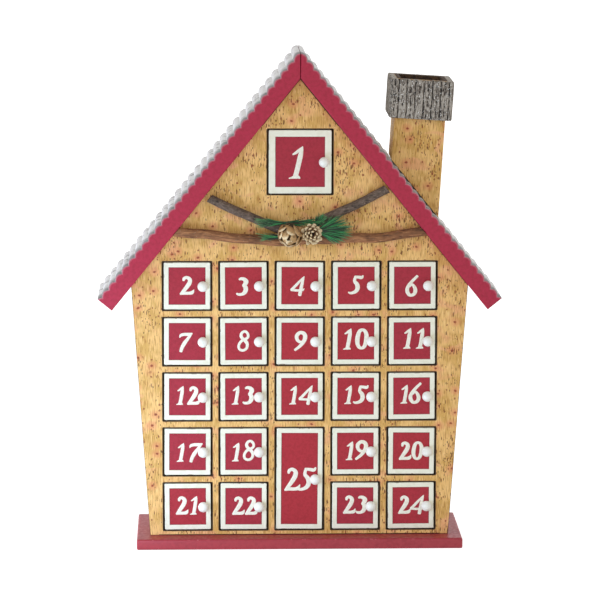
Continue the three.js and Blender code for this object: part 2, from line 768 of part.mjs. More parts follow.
// A cone seen from its tip: rings of flat scales on a round core
function pinecone({ x, drop, radius }) {
  const profile = [new THREE.Vector2(0, 0)];
  for (let ring = 0; ring <= CONE_CORE_RINGS; ring += 1) {
    const angle = ring / CONE_CORE_RINGS * Math.PI / 2;
    const reach = ring === CONE_CORE_RINGS ? 0 : radius * CONE_CORE * Math.cos(angle);
    profile.push(new THREE.Vector2(reach, CONE_DEPTH * CONE_CORE_HEIGHT * Math.sin(angle)));
  }
  const core = new THREE.LatheGeometry(profile, CONE_CORE_SIDES);
  const scales = CONE_RINGS.flatMap(({ count, tilt, seat, reach }, ring) => {
    const angle = THREE.MathUtils.degToRad(tilt);
    const made = [];
    for (let index = 0; index < count; index += 1) {
      const scale = coneScale(radius * CONE_SCALE_WIDTH, radius * reach / Math.cos(angle));
      scale.rotateX(-angle);
      scale.translate(0, seat * CONE_DEPTH, 0);
      scale.rotateY((index + ring * 0.5) / count * 2 * Math.PI);
      made.push(scale);
    }
    return made;
  });
  const whole = joined(core, scales);
  const behind = block([-2 * radius, -2 * radius, -2 * radius], [2 * radius, 0, 2 * radius]);
  const geometry = cutBy(whole, [behind]);
  geometry.rotateX(Math.PI);
  geometry.translate(x, coneBack, garlandHeight - drop);
  return geometry;
}

function addCones() {
  addPiece('pinecone_left', pinecone(LEFT_CONE), finishes.cone());
  addPiece('pinecone_right', pinecone(RIGHT_CONE), finishes.cone());
}

const places = doorPlaces();
addBase();
addFrontPanel(places);
addBackPanel();
addWalls();
addEggCrate();
addGableBox();
addRoof();
addChimney();
addDoors(places);
addTwigs();
addSprigs();
addCones();

export default calendar;
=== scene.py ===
"""Looks of a house-shaped wooden advent calendar with 25 numbered doors.

Sizes are in millimetres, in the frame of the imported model: X to the right, Y to the back and
Z up, with the origin under the middle of the base board.
"""

import logging
import math
from collections.abc import Callable, Sequence
from dataclasses import dataclass
from enum import Enum

import bmesh
import bpy
import numpy as np
from mathutils import Matrix, Vector
from mathutils.geometry import delaunay_2d_cdt


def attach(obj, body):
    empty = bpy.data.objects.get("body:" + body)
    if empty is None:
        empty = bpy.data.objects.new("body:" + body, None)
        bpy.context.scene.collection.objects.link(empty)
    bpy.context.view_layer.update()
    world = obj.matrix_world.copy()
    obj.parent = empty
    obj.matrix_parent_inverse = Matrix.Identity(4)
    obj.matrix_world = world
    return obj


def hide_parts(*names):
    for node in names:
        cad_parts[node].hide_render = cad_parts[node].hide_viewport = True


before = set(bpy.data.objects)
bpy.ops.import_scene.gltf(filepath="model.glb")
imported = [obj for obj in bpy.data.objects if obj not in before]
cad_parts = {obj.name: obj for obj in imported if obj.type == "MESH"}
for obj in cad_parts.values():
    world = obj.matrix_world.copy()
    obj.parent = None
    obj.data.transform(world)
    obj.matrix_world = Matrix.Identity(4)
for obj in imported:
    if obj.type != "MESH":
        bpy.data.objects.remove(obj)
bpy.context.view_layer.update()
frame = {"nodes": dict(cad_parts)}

MM = 0.001
HOUSE = "house"
GOLDEN_ANGLE = math.radians(137.508)

Colour = tuple[int, int, int]
Triple = tuple[float, float, float]
Size = tuple[float, ...]
Loop = Callable[[float], np.ndarray]
Row = tuple[float, float, int]
Socket = bpy.types.NodeSocket
Material = bpy.types.Material

log = logging.getLogger("advent_calendar")


class Slot(Enum):
    """Names of the material slots."""

    PRINT = "cork_print"
    BOARD = "bare_board"
    RED = "red_paint"
    DOOR = "door_paint"
    BARK = "bark"
    TWIG = "twig"
    NEEDLES = "needles"
    CONE = "cone"


class Mark(Enum):
    """Values that a mesh carries at its points for its finish to read."""

    EDGE = "edge_distance"
    RISE = "rise"
    ALONG = "along"
    TONE = "tone"


class Side(Enum):
    """Left or right of the house, as the sign of X."""

    LEFT = -1
    RIGHT = 1


def linear(colour: Colour) -> tuple[float, float, float, float]:
    """Turns display values from 0 to 255 into scene-linear ones with full opacity."""
    share = np.asarray(colour, float) / 255
    value = np.where(share <= 0.04045, share / 12.92, ((share + 0.055) / 1.055) ** 2.4)
    return (*map(float, value), 1.0)


# Sizes of the house


@dataclass(frozen=True)
class HouseSizes:
    """The driving sizes of the house, and what follows from them."""

    columns: int = 5
    rows: int = 5
    opening: float = 44
    bar: float = 6.5
    bottom_rail: float = 4.4
    side_rail: float = 12
    corner_rail: float = 12.8
    gable_opening: float = 58.4
    gable_rail: float = 9.9
    depth: float = 78
    wall_lean: float = math.radians(4)
    slope: float = math.radians(51)
    panel: float = 4
    seat_gap: float = 0.3
    base: float = 9.6
    base_side_lip: float = 12
    base_front_lip: float = 18
    base_back_lip: float = 8
    eave: float = 27.3
    roof_front: float = 8
    roof_back: float = 2
    roof_thickness: float = 14.2
    reed_pitch: float = 9.35
    reed_height: float = 2.2
    ridge_joint: float = 0.5
    glue_gap: float = 0.15
    border: float = 4.15
    gable_border: float = 5.75
    twig_radius: float = 4.5
    stem_radius: float = 1.6

    @property
    def pitch(self) -> float:
        """Distance from one door's centre to the next one's."""
        return self.opening + self.bar

    @property
    def grid_width(self) -> float:
        """Width of the door grid."""
        return self.columns * self.opening + (self.columns - 1) * self.bar

    @property
    def grid_top(self) -> float:
        """Height of the top edge of the highest row of openings."""
        height = self.rows * self.opening + (self.rows - 1) * self.bar
        return self.base + self.bottom_rail + height

    @property
    def foot_half(self) -> float:
        """Half the width of the front panel at the base."""
        return self.grid_width / 2 + self.side_rail

    @property
    def apex(self) -> float:
        """Height at which the undersides of the roof boards meet."""
        return self.grid_top + self.corner_rail + self.grid_width / 2 * math.tan(self.slope)

    @property
    def gable_centre(self) -> float:
        """Height of the centre of the gable door."""
        fall = self.gable_opening / 2 * math.tan(self.slope)
        return self.apex - fall - self.gable_rail - self.gable_opening / 2

    @property
    def base_depth(self) -> float:
        """Depth of the base board."""
        return self.base_front_lip + self.depth + self.base_back_lip

    @property
    def front(self) -> float:
        """Y of the front panel's face."""
        return self.base_front_lip - self.base_depth / 2

    @property
    def garland(self) -> float:
        """Height of the middle of the garland."""
        return (self.grid_top + self.gable_centre - self.gable_opening / 2) / 2

    @property
    def sprig_layer(self) -> float:
        """Y of the sprigs' stems, in front of the lower twig."""
        return self.front - 2 * self.twig_radius - 2 * self.glue_gap - self.stem_radius

    @property
    def cone_back(self) -> float:
        """Y of the cones' flat backs, in front of the stems."""
        return self.sprig_layer - self.stem_radius - self.glue_gap

    @property
    def roof_length(self) -> float:
        """Length of a roof board's underside, from the apex to the eave."""
        return self.shoulder()[0] / math.cos(self.slope) + self.eave

    def underside(self, x: float, inset: float = 0) -> float:
        """Height of the roof's underside over x, less a distance square to it."""
        return self.apex - inset / math.cos(self.slope) - abs(x) * math.tan(self.slope)

    def shoulder(self, inset: float = 0) -> tuple[float, float]:
        """The point where a wall's outer face meets the roof's underside, less an inset."""
        tan_lean, tan_slope = math.tan(self.wall_lean), math.tan(self.slope)
        wall = self.foot_half - self.base * tan_lean
        z = (self.underside(0, inset) - tan_slope * wall) / (1 + tan_slope * tan_lean)
        return wall + z * tan_lean, z


@dataclass(frozen=True)
class DoorPlace:
    """One opening of the front panel.

    Attributes:
        number: The door's number.
        x: Centre of the opening from left to right.
        z: Height of its centre.
        width: Width of the opening.
        height: Height of the opening.
        frame: Width of the door's painted border.
    """

    number: int
    x: float
    z: float
    width: float
    height: float
    frame: float

    @property
    def node(self) -> str:
        """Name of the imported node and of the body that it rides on."""
        return f"door_{self.number:02d}"


def door_places(sizes: HouseSizes) -> list[DoorPlace]:
    """Where each door sits: 1 in the gable, 2 to 24 in rows, and the tall 25 in the last two.

    Args:
        sizes: The house's sizes.

    Returns:
        The places in the order of their numbers.
    """
    middle = (sizes.columns - 1) // 2
    last = sizes.rows - 1
    centre_z = [sizes.grid_top - sizes.opening / 2 - row * sizes.pitch for row in range(sizes.rows)]
    wide = sizes.gable_opening
    places = [DoorPlace(1, 0, sizes.gable_centre, wide, wide, sizes.gable_border)]
    for row in range(sizes.rows):
        for column in range(sizes.columns):
            if column == middle and row >= last - 1:
                continue
            place = (len(places) + 1, (column - middle) * sizes.pitch, centre_z[row])
            places.append(DoorPlace(*place, sizes.opening, sizes.opening, sizes.border))
    tall = sizes.opening + sizes.pitch
    z = (centre_z[last] + centre_z[last - 1]) / 2
    places.append(DoorPlace(len(places) + 1, 0, z, sizes.opening, tall, sizes.border))
    return places


# Meshes


def new_object(name: str, data: bpy.types.ID) -> bpy.types.Object:
    """A new object with that data, in the scene."""
    made = bpy.data.objects.new(name, data)
    bpy.context.scene.collection.objects.link(made)
    return made


class Draft:
    """Points and faces of one piece, collected part by part in millimetres."""

    def __init__(self) -> None:
        """Starts an empty piece."""
        self.points: list[np.ndarray] = []
        self.faces: list[tuple[np.ndarray, int]] = []
        self.marks: list[dict[Mark, np.ndarray]] = []
        self.count = 0

    def add_points(self, points: np.ndarray, marks: dict[Mark, np.ndarray] | None = None) -> int:
        """Adds points.

        Args:
            points: An array whose last axis holds X, Y and Z.
            marks: Values at the points, of the same shape without that axis.

        Returns:
            The index of the first of them.
        """
        flat = np.asarray(points, float).reshape(-1, 3)
        first = self.count
        self.points.append(flat)
        spread = {
            mark: np.broadcast_to(value, points.shape[:-1]).ravel()
            for mark, value in (marks or {}).items()
        }
        self.marks.append(spread)
        self.count += len(flat)
        return first

    def add_faces(self, corners: np.ndarray, finish: int = 0) -> None:
        """Adds faces, one row of corner indices each, that take one of the finishes."""
        self.faces.append((np.asarray(corners, np.int64), finish))

    def piece(
        self,
        name: str,
        body: str,
        slot: Slot,
        finishes: Sequence[Material],
        replaces: Sequence[str] = (),
        crease: float = 50,
    ) -> bpy.types.Object:
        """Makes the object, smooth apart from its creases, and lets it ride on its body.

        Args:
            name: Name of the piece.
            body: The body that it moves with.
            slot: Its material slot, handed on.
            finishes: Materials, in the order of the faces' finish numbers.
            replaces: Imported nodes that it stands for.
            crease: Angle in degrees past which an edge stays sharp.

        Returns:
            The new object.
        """
        mesh = bpy.data.meshes.new(name)
        points = np.concatenate(self.points) * MM
        corners = np.concatenate([faces.ravel() for faces, _ in self.faces])
        sizes = np.concatenate([np.full(len(faces), faces.shape[1]) for faces, _ in self.faces])
        chosen = np.concatenate([np.full(len(faces), finish) for faces, finish in self.faces])
        mesh.vertices.add(len(points))
        mesh.vertices.foreach_set("co", points.astype(np.float32).ravel())
        mesh.loops.add(len(corners))
        mesh.loops.foreach_set("vertex_index", corners.astype(np.int32))
        mesh.polygons.add(len(sizes))
        mesh.polygons.foreach_set("loop_start", (np.cumsum(sizes) - sizes).astype(np.int32))
        mesh.polygons.foreach_set("material_index", chosen.astype(np.int32))
        mesh.update(calc_edges=True)
        mesh.shade_smooth()
        for mark in sorted({mark for marks in self.marks for mark in marks}, key=str):
            parts = [
                marks.get(mark, np.zeros(len(part)))
                for marks, part in zip(self.marks, self.points, strict=True)
            ]
            values = mesh.attributes.new(mark.value, "FLOAT", "POINT")
            values.data.foreach_set("value", np.concatenate(parts).astype(np.float32))
        mesh.set_sharp_from_angle(angle=math.radians(crease))
        return settled(new_object(name, mesh), body, slot, finishes, replaces)


def settled(
    made: bpy.types.Object,
    body: str,
    slot: Slot,
    finishes: Sequence[Material],
    replaces: Sequence[str] = (),
) -> bpy.types.Object:
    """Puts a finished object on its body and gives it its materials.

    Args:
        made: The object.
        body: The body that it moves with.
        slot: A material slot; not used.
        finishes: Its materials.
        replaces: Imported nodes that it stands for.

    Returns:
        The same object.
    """
    mesh = made.data
    chosen = np.empty(len(mesh.polygons), np.int32)
    mesh.polygons.foreach_get("material_index", chosen)
    mesh.materials.clear()
    for finish in finishes:
        mesh.materials.append(finish)
    mesh.polygons.foreach_set("material_index", chosen)
    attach(made, body)
    if replaces:
        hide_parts(*replaces)
    log.info("%s: %d faces on %s", made.name, len(made.data.polygons), body)
    return made


def grid_faces(rows: int, columns: int, looped: bool = False, copies: int = 1) -> np.ndarray:
    """Quads of a grid of points whose last column joins the first one.

    Args:
        rows: Points along the first axis.
        columns: Points along the second axis.
        looped: Whether the last row joins the first one too.
        copies: How many grids there are, each following the one before.

    Returns:
        Corner indices, with the normal along columns times rows.
    """
    row, column = np.meshgrid(
        np.arange(rows if looped else rows - 1), np.arange(columns), indexing="ij"
    )
    following = (column + 1) % columns
    here, there = row * columns, (row + 1) % rows * columns
    corners = [here + column, here + following, there + following, there + column]
    quads = np.stack(corners, axis=-1).reshape(-1, 4)
    start = np.arange(copies)[:, None, None] * rows * columns
    return (quads[None] + start).reshape(-1, 4)


def fan_faces(ring: np.ndarray, centre: np.ndarray) -> np.ndarray:
    """Triangles from each ring of indices to its centre, along the ring's own direction.

    Args:
        ring: Indices of shape copies by points.
        centre: One index for each copy.

    Returns:
        Corner indices of the triangles.
    """
    following = np.roll(ring, -1, axis=1)
    middle = np.broadcast_to(centre[:, None], ring.shape)
    return np.stack([ring, following, middle], axis=-1).reshape(-1, 3)


def add_tubes(
    draft: Draft,
    centres: np.ndarray,
    first: np.ndarray,
    second: np.ndarray,
    sides: int,
    squareness: float = 1.0,
    marks: dict[Mark, np.ndarray] | None = None,
    finish: int = 0,
) -> None:
    """Adds closed tubes: each ring is centre + first times cos + second times sin.

    Both ends are closed by a fan to the centre of the last ring.

    Args:
        draft: The piece that takes them.
        centres: Ring centres, of shape copies by rings by 3.
        first: Half axis of each ring, of the same shape.
        second: The other half axis.
        sides: Points in a ring.
        squareness: Power of the cosine and sine; less than 1 fills the corners.
        marks: Values of shape copies by rings.
        finish: Finish number of the faces.
    """
    copies, rings, _ = centres.shape
    angle = np.arange(sides) / sides * 2 * np.pi
    cosine = np.sign(np.cos(angle)) * np.abs(np.cos(angle)) ** squareness
    sine = np.sign(np.sin(angle)) * np.abs(np.sin(angle)) ** squareness
    offset = first[:, :, None] * cosine[:, None] + second[:, :, None] * sine[:, None]
    skin = centres[:, :, None] + offset
    marks = marks or {}
    start = draft.add_points(skin, {mark: value[..., None] for mark, value in marks.items()})
    ends = {mark: value[:, [0, -1]] for mark, value in marks.items()}
    tips = draft.add_points(centres[:, [0, -1]], ends)

    along = centres[:, -1] - centres[:, 0]
    middle = rings // 2
    turn = np.cross(first[:, middle], second[:, middle])
    forward = float(np.sum(turn * along)) >= 0
    quads = grid_faces(rings, sides, copies=copies) + start
    copy = np.arange(copies)[:, None]
    low_ring = start + copy * rings * sides + np.arange(sides)
    high_ring = low_ring + (rings - 1) * sides
    low = fan_faces(low_ring, tips + 2 * copy[:, 0])[:, ::-1]
    high = fan_faces(high_ring, tips + 2 * copy[:, 0] + 1)
    for faces in (quads, low, high):
        draft.add_faces(faces if forward else faces[:, ::-1], finish)


def polygon(points: Sequence[tuple[float, float]]) -> Loop:
    """An outline with straight sides that can be drawn in by a distance.

    A corner moves along its two sides' inward normals a and b by d (a + b) / (1 + a . b).

    Args:
        points: Corners, with the material on the left.

    Returns:
        A function from the distance to the corners.
    """
    corners = np.asarray(points, float)
    side = np.roll(corners, -1, axis=0) - corners
    side /= np.linalg.norm(side, axis=1, keepdims=True)
    inward = np.stack([-side[:, 1], side[:, 0]], axis=1)
    before = np.roll(inward, 1, axis=0)
    share = 1 + np.sum(inward * before, axis=1, keepdims=True)
    step = (inward + before) / share
    return lambda distance: corners + distance * step


def rounded_box(
    low: tuple[float, float],
    high: tuple[float, float],
    radius: float,
    hole: bool = False,
    steps: int = 4,
) -> Loop:
    """A rectangle with round corners that can be drawn in, or grown if it is a hole.

    Args:
        low: Lower left corner.
        high: Upper right corner.
        radius: Radius of the corners.
        hole: Whether it bounds a hole, which turns it round.
        steps: Segments in a corner.

    Returns:
        A function from the distance into the material to the points.
    """
    centre = (np.array(low) + np.array(high)) / 2
    half = (np.array(high) - np.array(low)) / 2
    angle = np.concatenate([np.linspace(0, np.pi / 2, steps + 1) + k * np.pi / 2 for k in range(4)])
    quarter = np.repeat(np.arange(4), steps + 1)
    sign = np.array([[1, 1], [-1, 1], [-1, -1], [1, -1]])[quarter]
    around = np.stack([np.cos(angle), np.sin(angle)], axis=1)

    def drawn_in(distance: float) -> np.ndarray:
        """The points at a distance into the material."""
        grown = distance if hole else -distance
        corner = max(radius + grown, 0.02)
        loop = centre + sign * (half + grown - corner) + corner * around
        return loop[::-1] if hole else loop

    return drawn_in


def edge_rows(
    thickness: float,
    rounding: float,
    bands: Sequence[float] = (),
    finishes: tuple[int, int, int] = (0, 1, 2),
    steps: int = 3,
) -> list[Row]:
    """Rows of a plate from its front face, round the edge and to its back face.

    Args:
        thickness: The plate's thickness.
        rounding: Radius of its front and back edges.
        bands: Further distances from the edge at which the front face has a row.
        finishes: Finish numbers of the front, the edge and the back.
        steps: Segments of a rounded edge.

    Returns:
        Rows of distance from the outline, depth and the finish of the strip that follows.
    """
    hold = 0.15
    front, side, back = finishes
    turn = np.linspace(0, np.pi / 2, steps + 1)
    drawn = rounding * (1 - np.sin(turn))
    sunk = rounding * (1 - np.cos(turn))
    rows = [(band, 0.0, front) for band in sorted(bands, reverse=True)]
    rows.append((rounding + hold, 0.0, front))
    turned = list(zip(drawn.tolist(), sunk.tolist(), strict=True))
    rows += [(d, s, side) for d, s in turned]
    rows += [(d, thickness - s, side) for d, s in turned[::-1]]
    rows[-1] = (rows[-1][0], rows[-1][1], back)
    rows.append((rounding + hold, thickness, back))
    return rows


@dataclass(frozen=True)
class Placing:
    """Where the flat face of a plate lies.

    Attributes:
        origin: The point that the outline's zero stands for.
        across: Direction of the outline's first coordinate.
        upward: Direction of its second coordinate; the face looks along across times upward.
    """

    origin: Triple = (0, 0, 0)
    across: Triple = (1, 0, 0)
    upward: Triple = (0, 0, 1)

    def put(self, flat: np.ndarray, depth: np.ndarray | float) -> np.ndarray:
        """Turns outline points and depths behind the face into points in space."""
        across, upward = np.array(self.across, float), np.array(self.upward, float)
        facing = np.cross(across, upward)
        depth = np.broadcast_to(depth, flat.shape[:-1])[..., None]
        face = np.array(self.origin, float) + flat[..., :1] * across + flat[..., 1:] * upward
        return face - depth * facing


def filled(loops: Sequence[np.ndarray]) -> np.ndarray:
    """Triangles of the area that outlines bound, with holes left open.

    A triangle is kept where a level line from its middle crosses the outlines an odd number of
    times.

    Args:
        loops: Outlines as points, whose indices follow each other.

    Returns:
        Corner indices, counter-clockwise.
    """
    points = np.concatenate(loops)
    starts = np.cumsum([0, *map(len, loops)])
    edges = np.concatenate([
        np.stack([np.arange(len(loop)), np.roll(np.arange(len(loop)), -1)], axis=1) + start
        for loop, start in zip(loops, starts[:-1], strict=True)
    ])
    inside = 1
    given = [Vector(point) for point in points.tolist()]
    result = delaunay_2d_cdt(given, edges.tolist(), [], inside, 1e-6)
    source = np.array([origin[0] for origin in result[3]])
    corners = source[np.array(result[2])]
    a, b, c = (points[corners[:, k]] for k in range(3))
    middle = (a + b + c)[:, None] / 3
    low, high = points[edges[:, 0]], points[edges[:, 1]]
    spans = (low[:, 1] > middle[..., 1]) != (high[:, 1] > middle[..., 1])
    rise = np.where(low[:, 1] == high[:, 1], 1, high[:, 1] - low[:, 1])
    crossing = low[:, 0] + (high[:, 0] - low[:, 0]) * (middle[..., 1] - low[:, 1]) / rise
    crossings = np.sum(spans & (middle[..., 0] < crossing), axis=1)
    area = (b - a)[:, 0] * (c - a)[:, 1] - (b - a)[:, 1] * (c - a)[:, 0]
    corners[area < 0] = corners[area < 0][:, ::-1]
    return corners[crossings % 2 == 1]


def add_plate(
    draft: Draft,
    outlines: Sequence[Loop],
    placing: Placing,
    rows: Sequence[Row],
    more_marks: Callable[[np.ndarray], dict[Mark, np.ndarray]] | None = None,
) -> None:
    """Adds a closed plate: each outline is swept over the rows, and both faces are filled.

    Args:
        draft: The piece that takes it.
        outlines: The outer outline and those of its holes.
        placing: Where its face lies.
        rows: Distance from the outline, depth and following finish, from front to back.
        more_marks: Gives further values from the points' flat coordinates.
    """
    inset = np.array([row[0] for row in rows])
    depth = np.array([row[1] for row in rows])
    edge = np.maximum(inset, np.minimum(depth, depth[-1] - depth))
    fronts, backs, front_index, back_index = [], [], [], []
    for outline in outlines:
        flat = np.stack([outline(distance) for distance in inset])
        marks = {Mark.EDGE: np.broadcast_to(edge[:, None], flat.shape[:-1])}
        if more_marks:
            marks.update(more_marks(flat))
        start = draft.add_points(placing.put(flat, depth[:, None]), marks)
        count = flat.shape[1]
        quads = grid_faces(len(rows), count)[:, ::-1] + start
        for index, row in enumerate(rows[:-1]):
            draft.add_faces(quads[index * count : (index + 1) * count], row[2])
        fronts.append(flat[0])
        backs.append(flat[-1])
        front_index.append(start + np.arange(count))
        back_index.append(start + (len(rows) - 1) * count + np.arange(count))
    draft.add_faces(np.concatenate(front_index)[filled(fronts)], rows[0][2])
    draft.add_faces(np.concatenate(back_index)[filled(backs)][:, ::-1], rows[-1][2])


def softened_copy(
    node: str,
    slot: Slot,
    finishes: Sequence[Material],
    rounding: float = 0.3,
    choose: Callable[[np.ndarray, np.ndarray], np.ndarray] | None = None,
) -> bpy.types.Object:
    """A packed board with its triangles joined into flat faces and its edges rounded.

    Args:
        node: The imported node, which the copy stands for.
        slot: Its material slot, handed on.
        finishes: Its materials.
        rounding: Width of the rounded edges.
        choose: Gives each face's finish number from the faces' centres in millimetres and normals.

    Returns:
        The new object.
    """
    mesh = frame["nodes"][node].data.copy()
    work = bmesh.new()
    work.from_mesh(mesh)
    bmesh.ops.remove_doubles(work, verts=work.verts, dist=0.01 * MM)
    flat = math.radians(1)
    bmesh.ops.dissolve_limit(work, angle_limit=flat, verts=work.verts, edges=work.edges)
    work.to_mesh(mesh)
    work.free()
    mesh.name = f"{node}_board"
    count = len(mesh.polygons)
    chosen = np.zeros(count)
    if choose:
        centres, normals = np.empty(3 * count), np.empty(3 * count)
        mesh.polygons.foreach_get("center", centres)
        mesh.polygons.foreach_get("normal", normals)
        chosen = choose(centres.reshape(-1, 3) / MM, normals.reshape(-1, 3))
    mesh.polygons.foreach_set("material_index", chosen.astype(np.int32))
    mesh.shade_smooth()
    made = new_object(f"{node}_board", mesh)
    bevel = made.modifiers.new("rounded_edges", "BEVEL")
    bevel.width = rounding * MM
    bevel.segments = 2
    bevel.limit_method = "ANGLE"
    bevel.angle_limit = math.radians(30)
    bevel.harden_normals = True
    return settled(made, HOUSE, slot, finishes, [node])


def value_noise(at: np.ndarray, seed: int) -> np.ndarray:
    """Smooth noise from -1 to 1.

    Each whole-number lattice point has a hashed value, and the eight round a point are blended
    by the weights 3 t^2 - 2 t^3.

    Args:
        at: Points, with the last axis of length 3.
        seed: Chooses the values.

    Returns:
        The noise, of the shape of the points without their last axis.
    """
    cell = np.floor(at).astype(np.int64)
    share = at - cell
    weight = share * share * (3 - 2 * share)
    total = np.zeros(at.shape[:-1])
    stride = np.array([73856093, 19349663, 83492791])
    for corner in np.ndindex(2, 2, 2):
        key = ((cell + np.array(corner)) @ stride + seed * 15485863) & 0xFFFFFFFF
        key = ((key ^ (key >> 15)) * 2246822519) & 0xFFFFFFFF
        key = ((key ^ (key >> 13)) * 3266489917) & 0xFFFFFFFF
        value = (key ^ (key >> 16)) / 2**31 - 1
        total += value * np.prod(np.where(corner, weight, 1 - weight), axis=-1)
    return total


def curve_through(points: np.ndarray, count: int) -> np.ndarray:
    """Points along a smooth curve: each span blends its four nearest points by cubic weights.

    Args:
        points: The points that it passes through, with any number of coordinates.
        count: How many points to give.

    Returns:
        The points, evenly spread over the spans.
    """
    guided = np.vstack([2 * points[0] - points[1], points, 2 * points[-1] - points[-2]])
    position = np.linspace(0, len(points) - 1, count)
    span = np.minimum(position.astype(int), len(points) - 2)
    t = (position - span)[:, None]
    p0, p1, p2, p3 = (guided[span + k] for k in range(4))
    quadratic = (2 * p0 - 5 * p1 + 4 * p2 - p3) * t**2
    cubic = (3 * p1 - p0 - 3 * p2 + p3) * t**3
    return 0.5 * (2 * p1 + (p2 - p0) * t + quadratic + cubic)


def unit(vectors: np.ndarray) -> np.ndarray:
    """The vectors at length 1."""
    return vectors / np.linalg.norm(vectors, axis=-1, keepdims=True)


def each_way(size: float | Size) -> Size:
    """A size along each axis; a single number is that of all three."""
    return size if isinstance(size, tuple) else (size,) * 3


# Finishes


class Graph:
    """The node tree of a material or world, with a short call for each step of the finishes."""

    def __init__(self, name: str, world: bpy.types.World | None = None) -> None:
        """Starts a material with a plain shader, or takes a world.

        Args:
            name: Name of the material.
            world: The world, if it is one.
        """
        self.material = world or bpy.data.materials.new(name)
        self.material.use_nodes = True
        self.nodes = self.material.node_tree.nodes
        self.links = self.material.node_tree.links
        self.shader = self.nodes["Background" if world else "Principled BSDF"]

    def feed(self, socket: Socket, value: object) -> None:
        """Links a socket to another one, or sets its own value; whole numbers are a colour."""
        if isinstance(value, Socket):
            self.links.new(value, socket)
        elif socket.type == "RGBA":
            socket.default_value = linear(value)
        else:
            socket.default_value = value

    def add(self, kind: str, inputs: dict | None = None, **settings: object) -> bpy.types.Node:
        """Adds a node.

        Args:
            kind: Its type, without the common prefix.
            inputs: Values or links of its sockets.
            settings: Its other settings.

        Returns:
            The node.
        """
        node = self.nodes.new("ShaderNode" + kind)
        for key, value in settings.items():
            setattr(node, key, value)
        for key, value in (inputs or {}).items():
            self.feed(node.inputs[key], value)
        return node

    def place(self, size: float | Size, shift: Triple = (0, 0, 0)) -> Socket:
        """Object coordinates in units of a size.

        Args:
            size: Millimetres along all axes, along X, Y and Z, or for a flat pattern on upright
                faces along X minus Y and upwards.
            shift: Moves the pattern, in units.

        Returns:
            The coordinates.
        """
        given = self.add("TexCoord").outputs["Object"]
        size, turn = each_way(size), (0, 0, 0)
        if len(size) == 2:
            level = size[0] / math.sqrt(2)
            size, turn = (level, level, size[1]), (-math.pi / 2, math.pi / 4, 0)
        scale = tuple(1 / (MM * length) for length in size)
        inputs = {"Vector": given, "Scale": scale, "Rotation": turn, "Location": shift}
        return self.add("Mapping", inputs).outputs[0]

    def grain(
        self, size: float | Size, detail: float = 2, warp: float = 0, shift: Triple = (0, 0, 0)
    ) -> Socket:
        """Soft noise from 0 to 1 with features of about that size."""
        size = each_way(size)
        inputs = {
            "Vector": self.place(size, shift), "Scale": 1.0,
            "Detail": float(detail), "Distortion": float(warp),
        }
        return self.add("TexNoise", inputs, noise_dimensions=f"{len(size)}D").outputs[0]

    def cells(
        self, size: float | Size, shift: Triple = (0, 0, 0), warp: float = 0
    ) -> tuple[Socket, Socket]:
        """Scattered points, one to a cell of that size: distance to the nearest, and its chance.

        Args:
            size: The cell's size in millimetres.
            shift: Moves the pattern, in cells.
            warp: How far small noise bends the pattern, in cells.

        Returns:
            The distance in cells, and a value from 0 to 1 that differs from cell to cell.
        """
        size = each_way(size)
        place = self.place(size, shift)
        if warp:
            bend = self.add("TexNoise", {"Vector": place, "Scale": 3.0, "Detail": 2.0})
            inputs = {0: bend.outputs["Color"], 1: (float(warp),) * 3, 2: place}
            place = self.add("VectorMath", inputs, operation="MULTIPLY_ADD").outputs[0]
        inputs = {"Vector": place, "Scale": 1.0}
        node = self.add("TexVoronoi", inputs, voronoi_dimensions=f"{len(size)}D")
        chance = self.add("SeparateColor", {0: node.outputs["Color"]})
        return node.outputs["Distance"], chance.outputs[0]

    def dots(
        self, size: float | Size, low: float, high: float, rare: float | Socket,
        warp: float = 0, shift: Triple = (0, 0, 0),
    ) -> Socket:
        """Scattered dots from 0 to 1, one to a cell at most.

        Args:
            size: The cell's size in millimetres.
            low: The smallest dot's radius in cells.
            high: The largest dot's radius.
            rare: Share of the cells that stay empty.
            warp: How uneven the dots are.
            shift: Moves the pattern, in cells.

        Returns:
            1 inside a dot.
        """
        far, chance = self.cells(size, shift, warp)
        radius = self.band(chance, rare, 1.0, low, high)
        inside = self.band(self.figure("SUBTRACT", far, radius), -0.06, 0.03, 1, 0)
        return self.figure("MULTIPLY", inside, self.figure("GREATER_THAN", chance, rare))

    def across(self, axis: int) -> Socket:
        """The object coordinate along X, Y or Z, in millimetres."""
        return self.add("SeparateXYZ", {0: self.place(1)}).outputs[axis]

    def band(
        self, value: Socket, low: float | Socket, high: float, start: float = 0, end: float = 1
    ) -> Socket:
        """A smooth step: start where the value is at low and less, end at high and more."""
        inputs = {"Value": value, "From Min": low, "From Max": high, "To Min": start, "To Max": end}
        return self.add("MapRange", inputs, interpolation_type="SMOOTHSTEP").outputs[0]

    def figure(self, operation: str, first: object, second: object = 0.0) -> Socket:
        """The result of a sum on two values."""
        return self.add("Math", {0: first, 1: second}, operation=operation).outputs[0]

    def mixed(self, share: object, first: object, second: object) -> Socket:
        """The first colour, with the second one over it by a share."""
        return self.add("Mix", {0: share, 6: first, 7: second}, data_type="RGBA").outputs[2]

    def stained(self, mask: Socket, most: float, first: object, second: object) -> Socket:
        """The first colour, with the second one over it where a mask is, by a share at most."""
        return self.mixed(self.figure("MULTIPLY", mask, most), first, second)

    def mark(self, mark: Mark) -> Socket:
        """A value that the mesh carries at its points."""
        return self.add("Attribute", attribute_name=mark.value).outputs["Fac"]

    def relief(self, height: Socket, depth: float, below: Socket | None = None) -> Socket:
        """A bumped normal.

        Args:
            height: Height from 0 to 1.
            depth: What 1 stands for, in millimetres.
            below: A normal that it adds to.

        Returns:
            The normal.
        """
        inputs = {"Height": height, "Distance": depth * MM, "Strength": 1.0}
        if below:
            inputs["Normal"] = below
        return self.add("Bump", inputs).outputs[0]

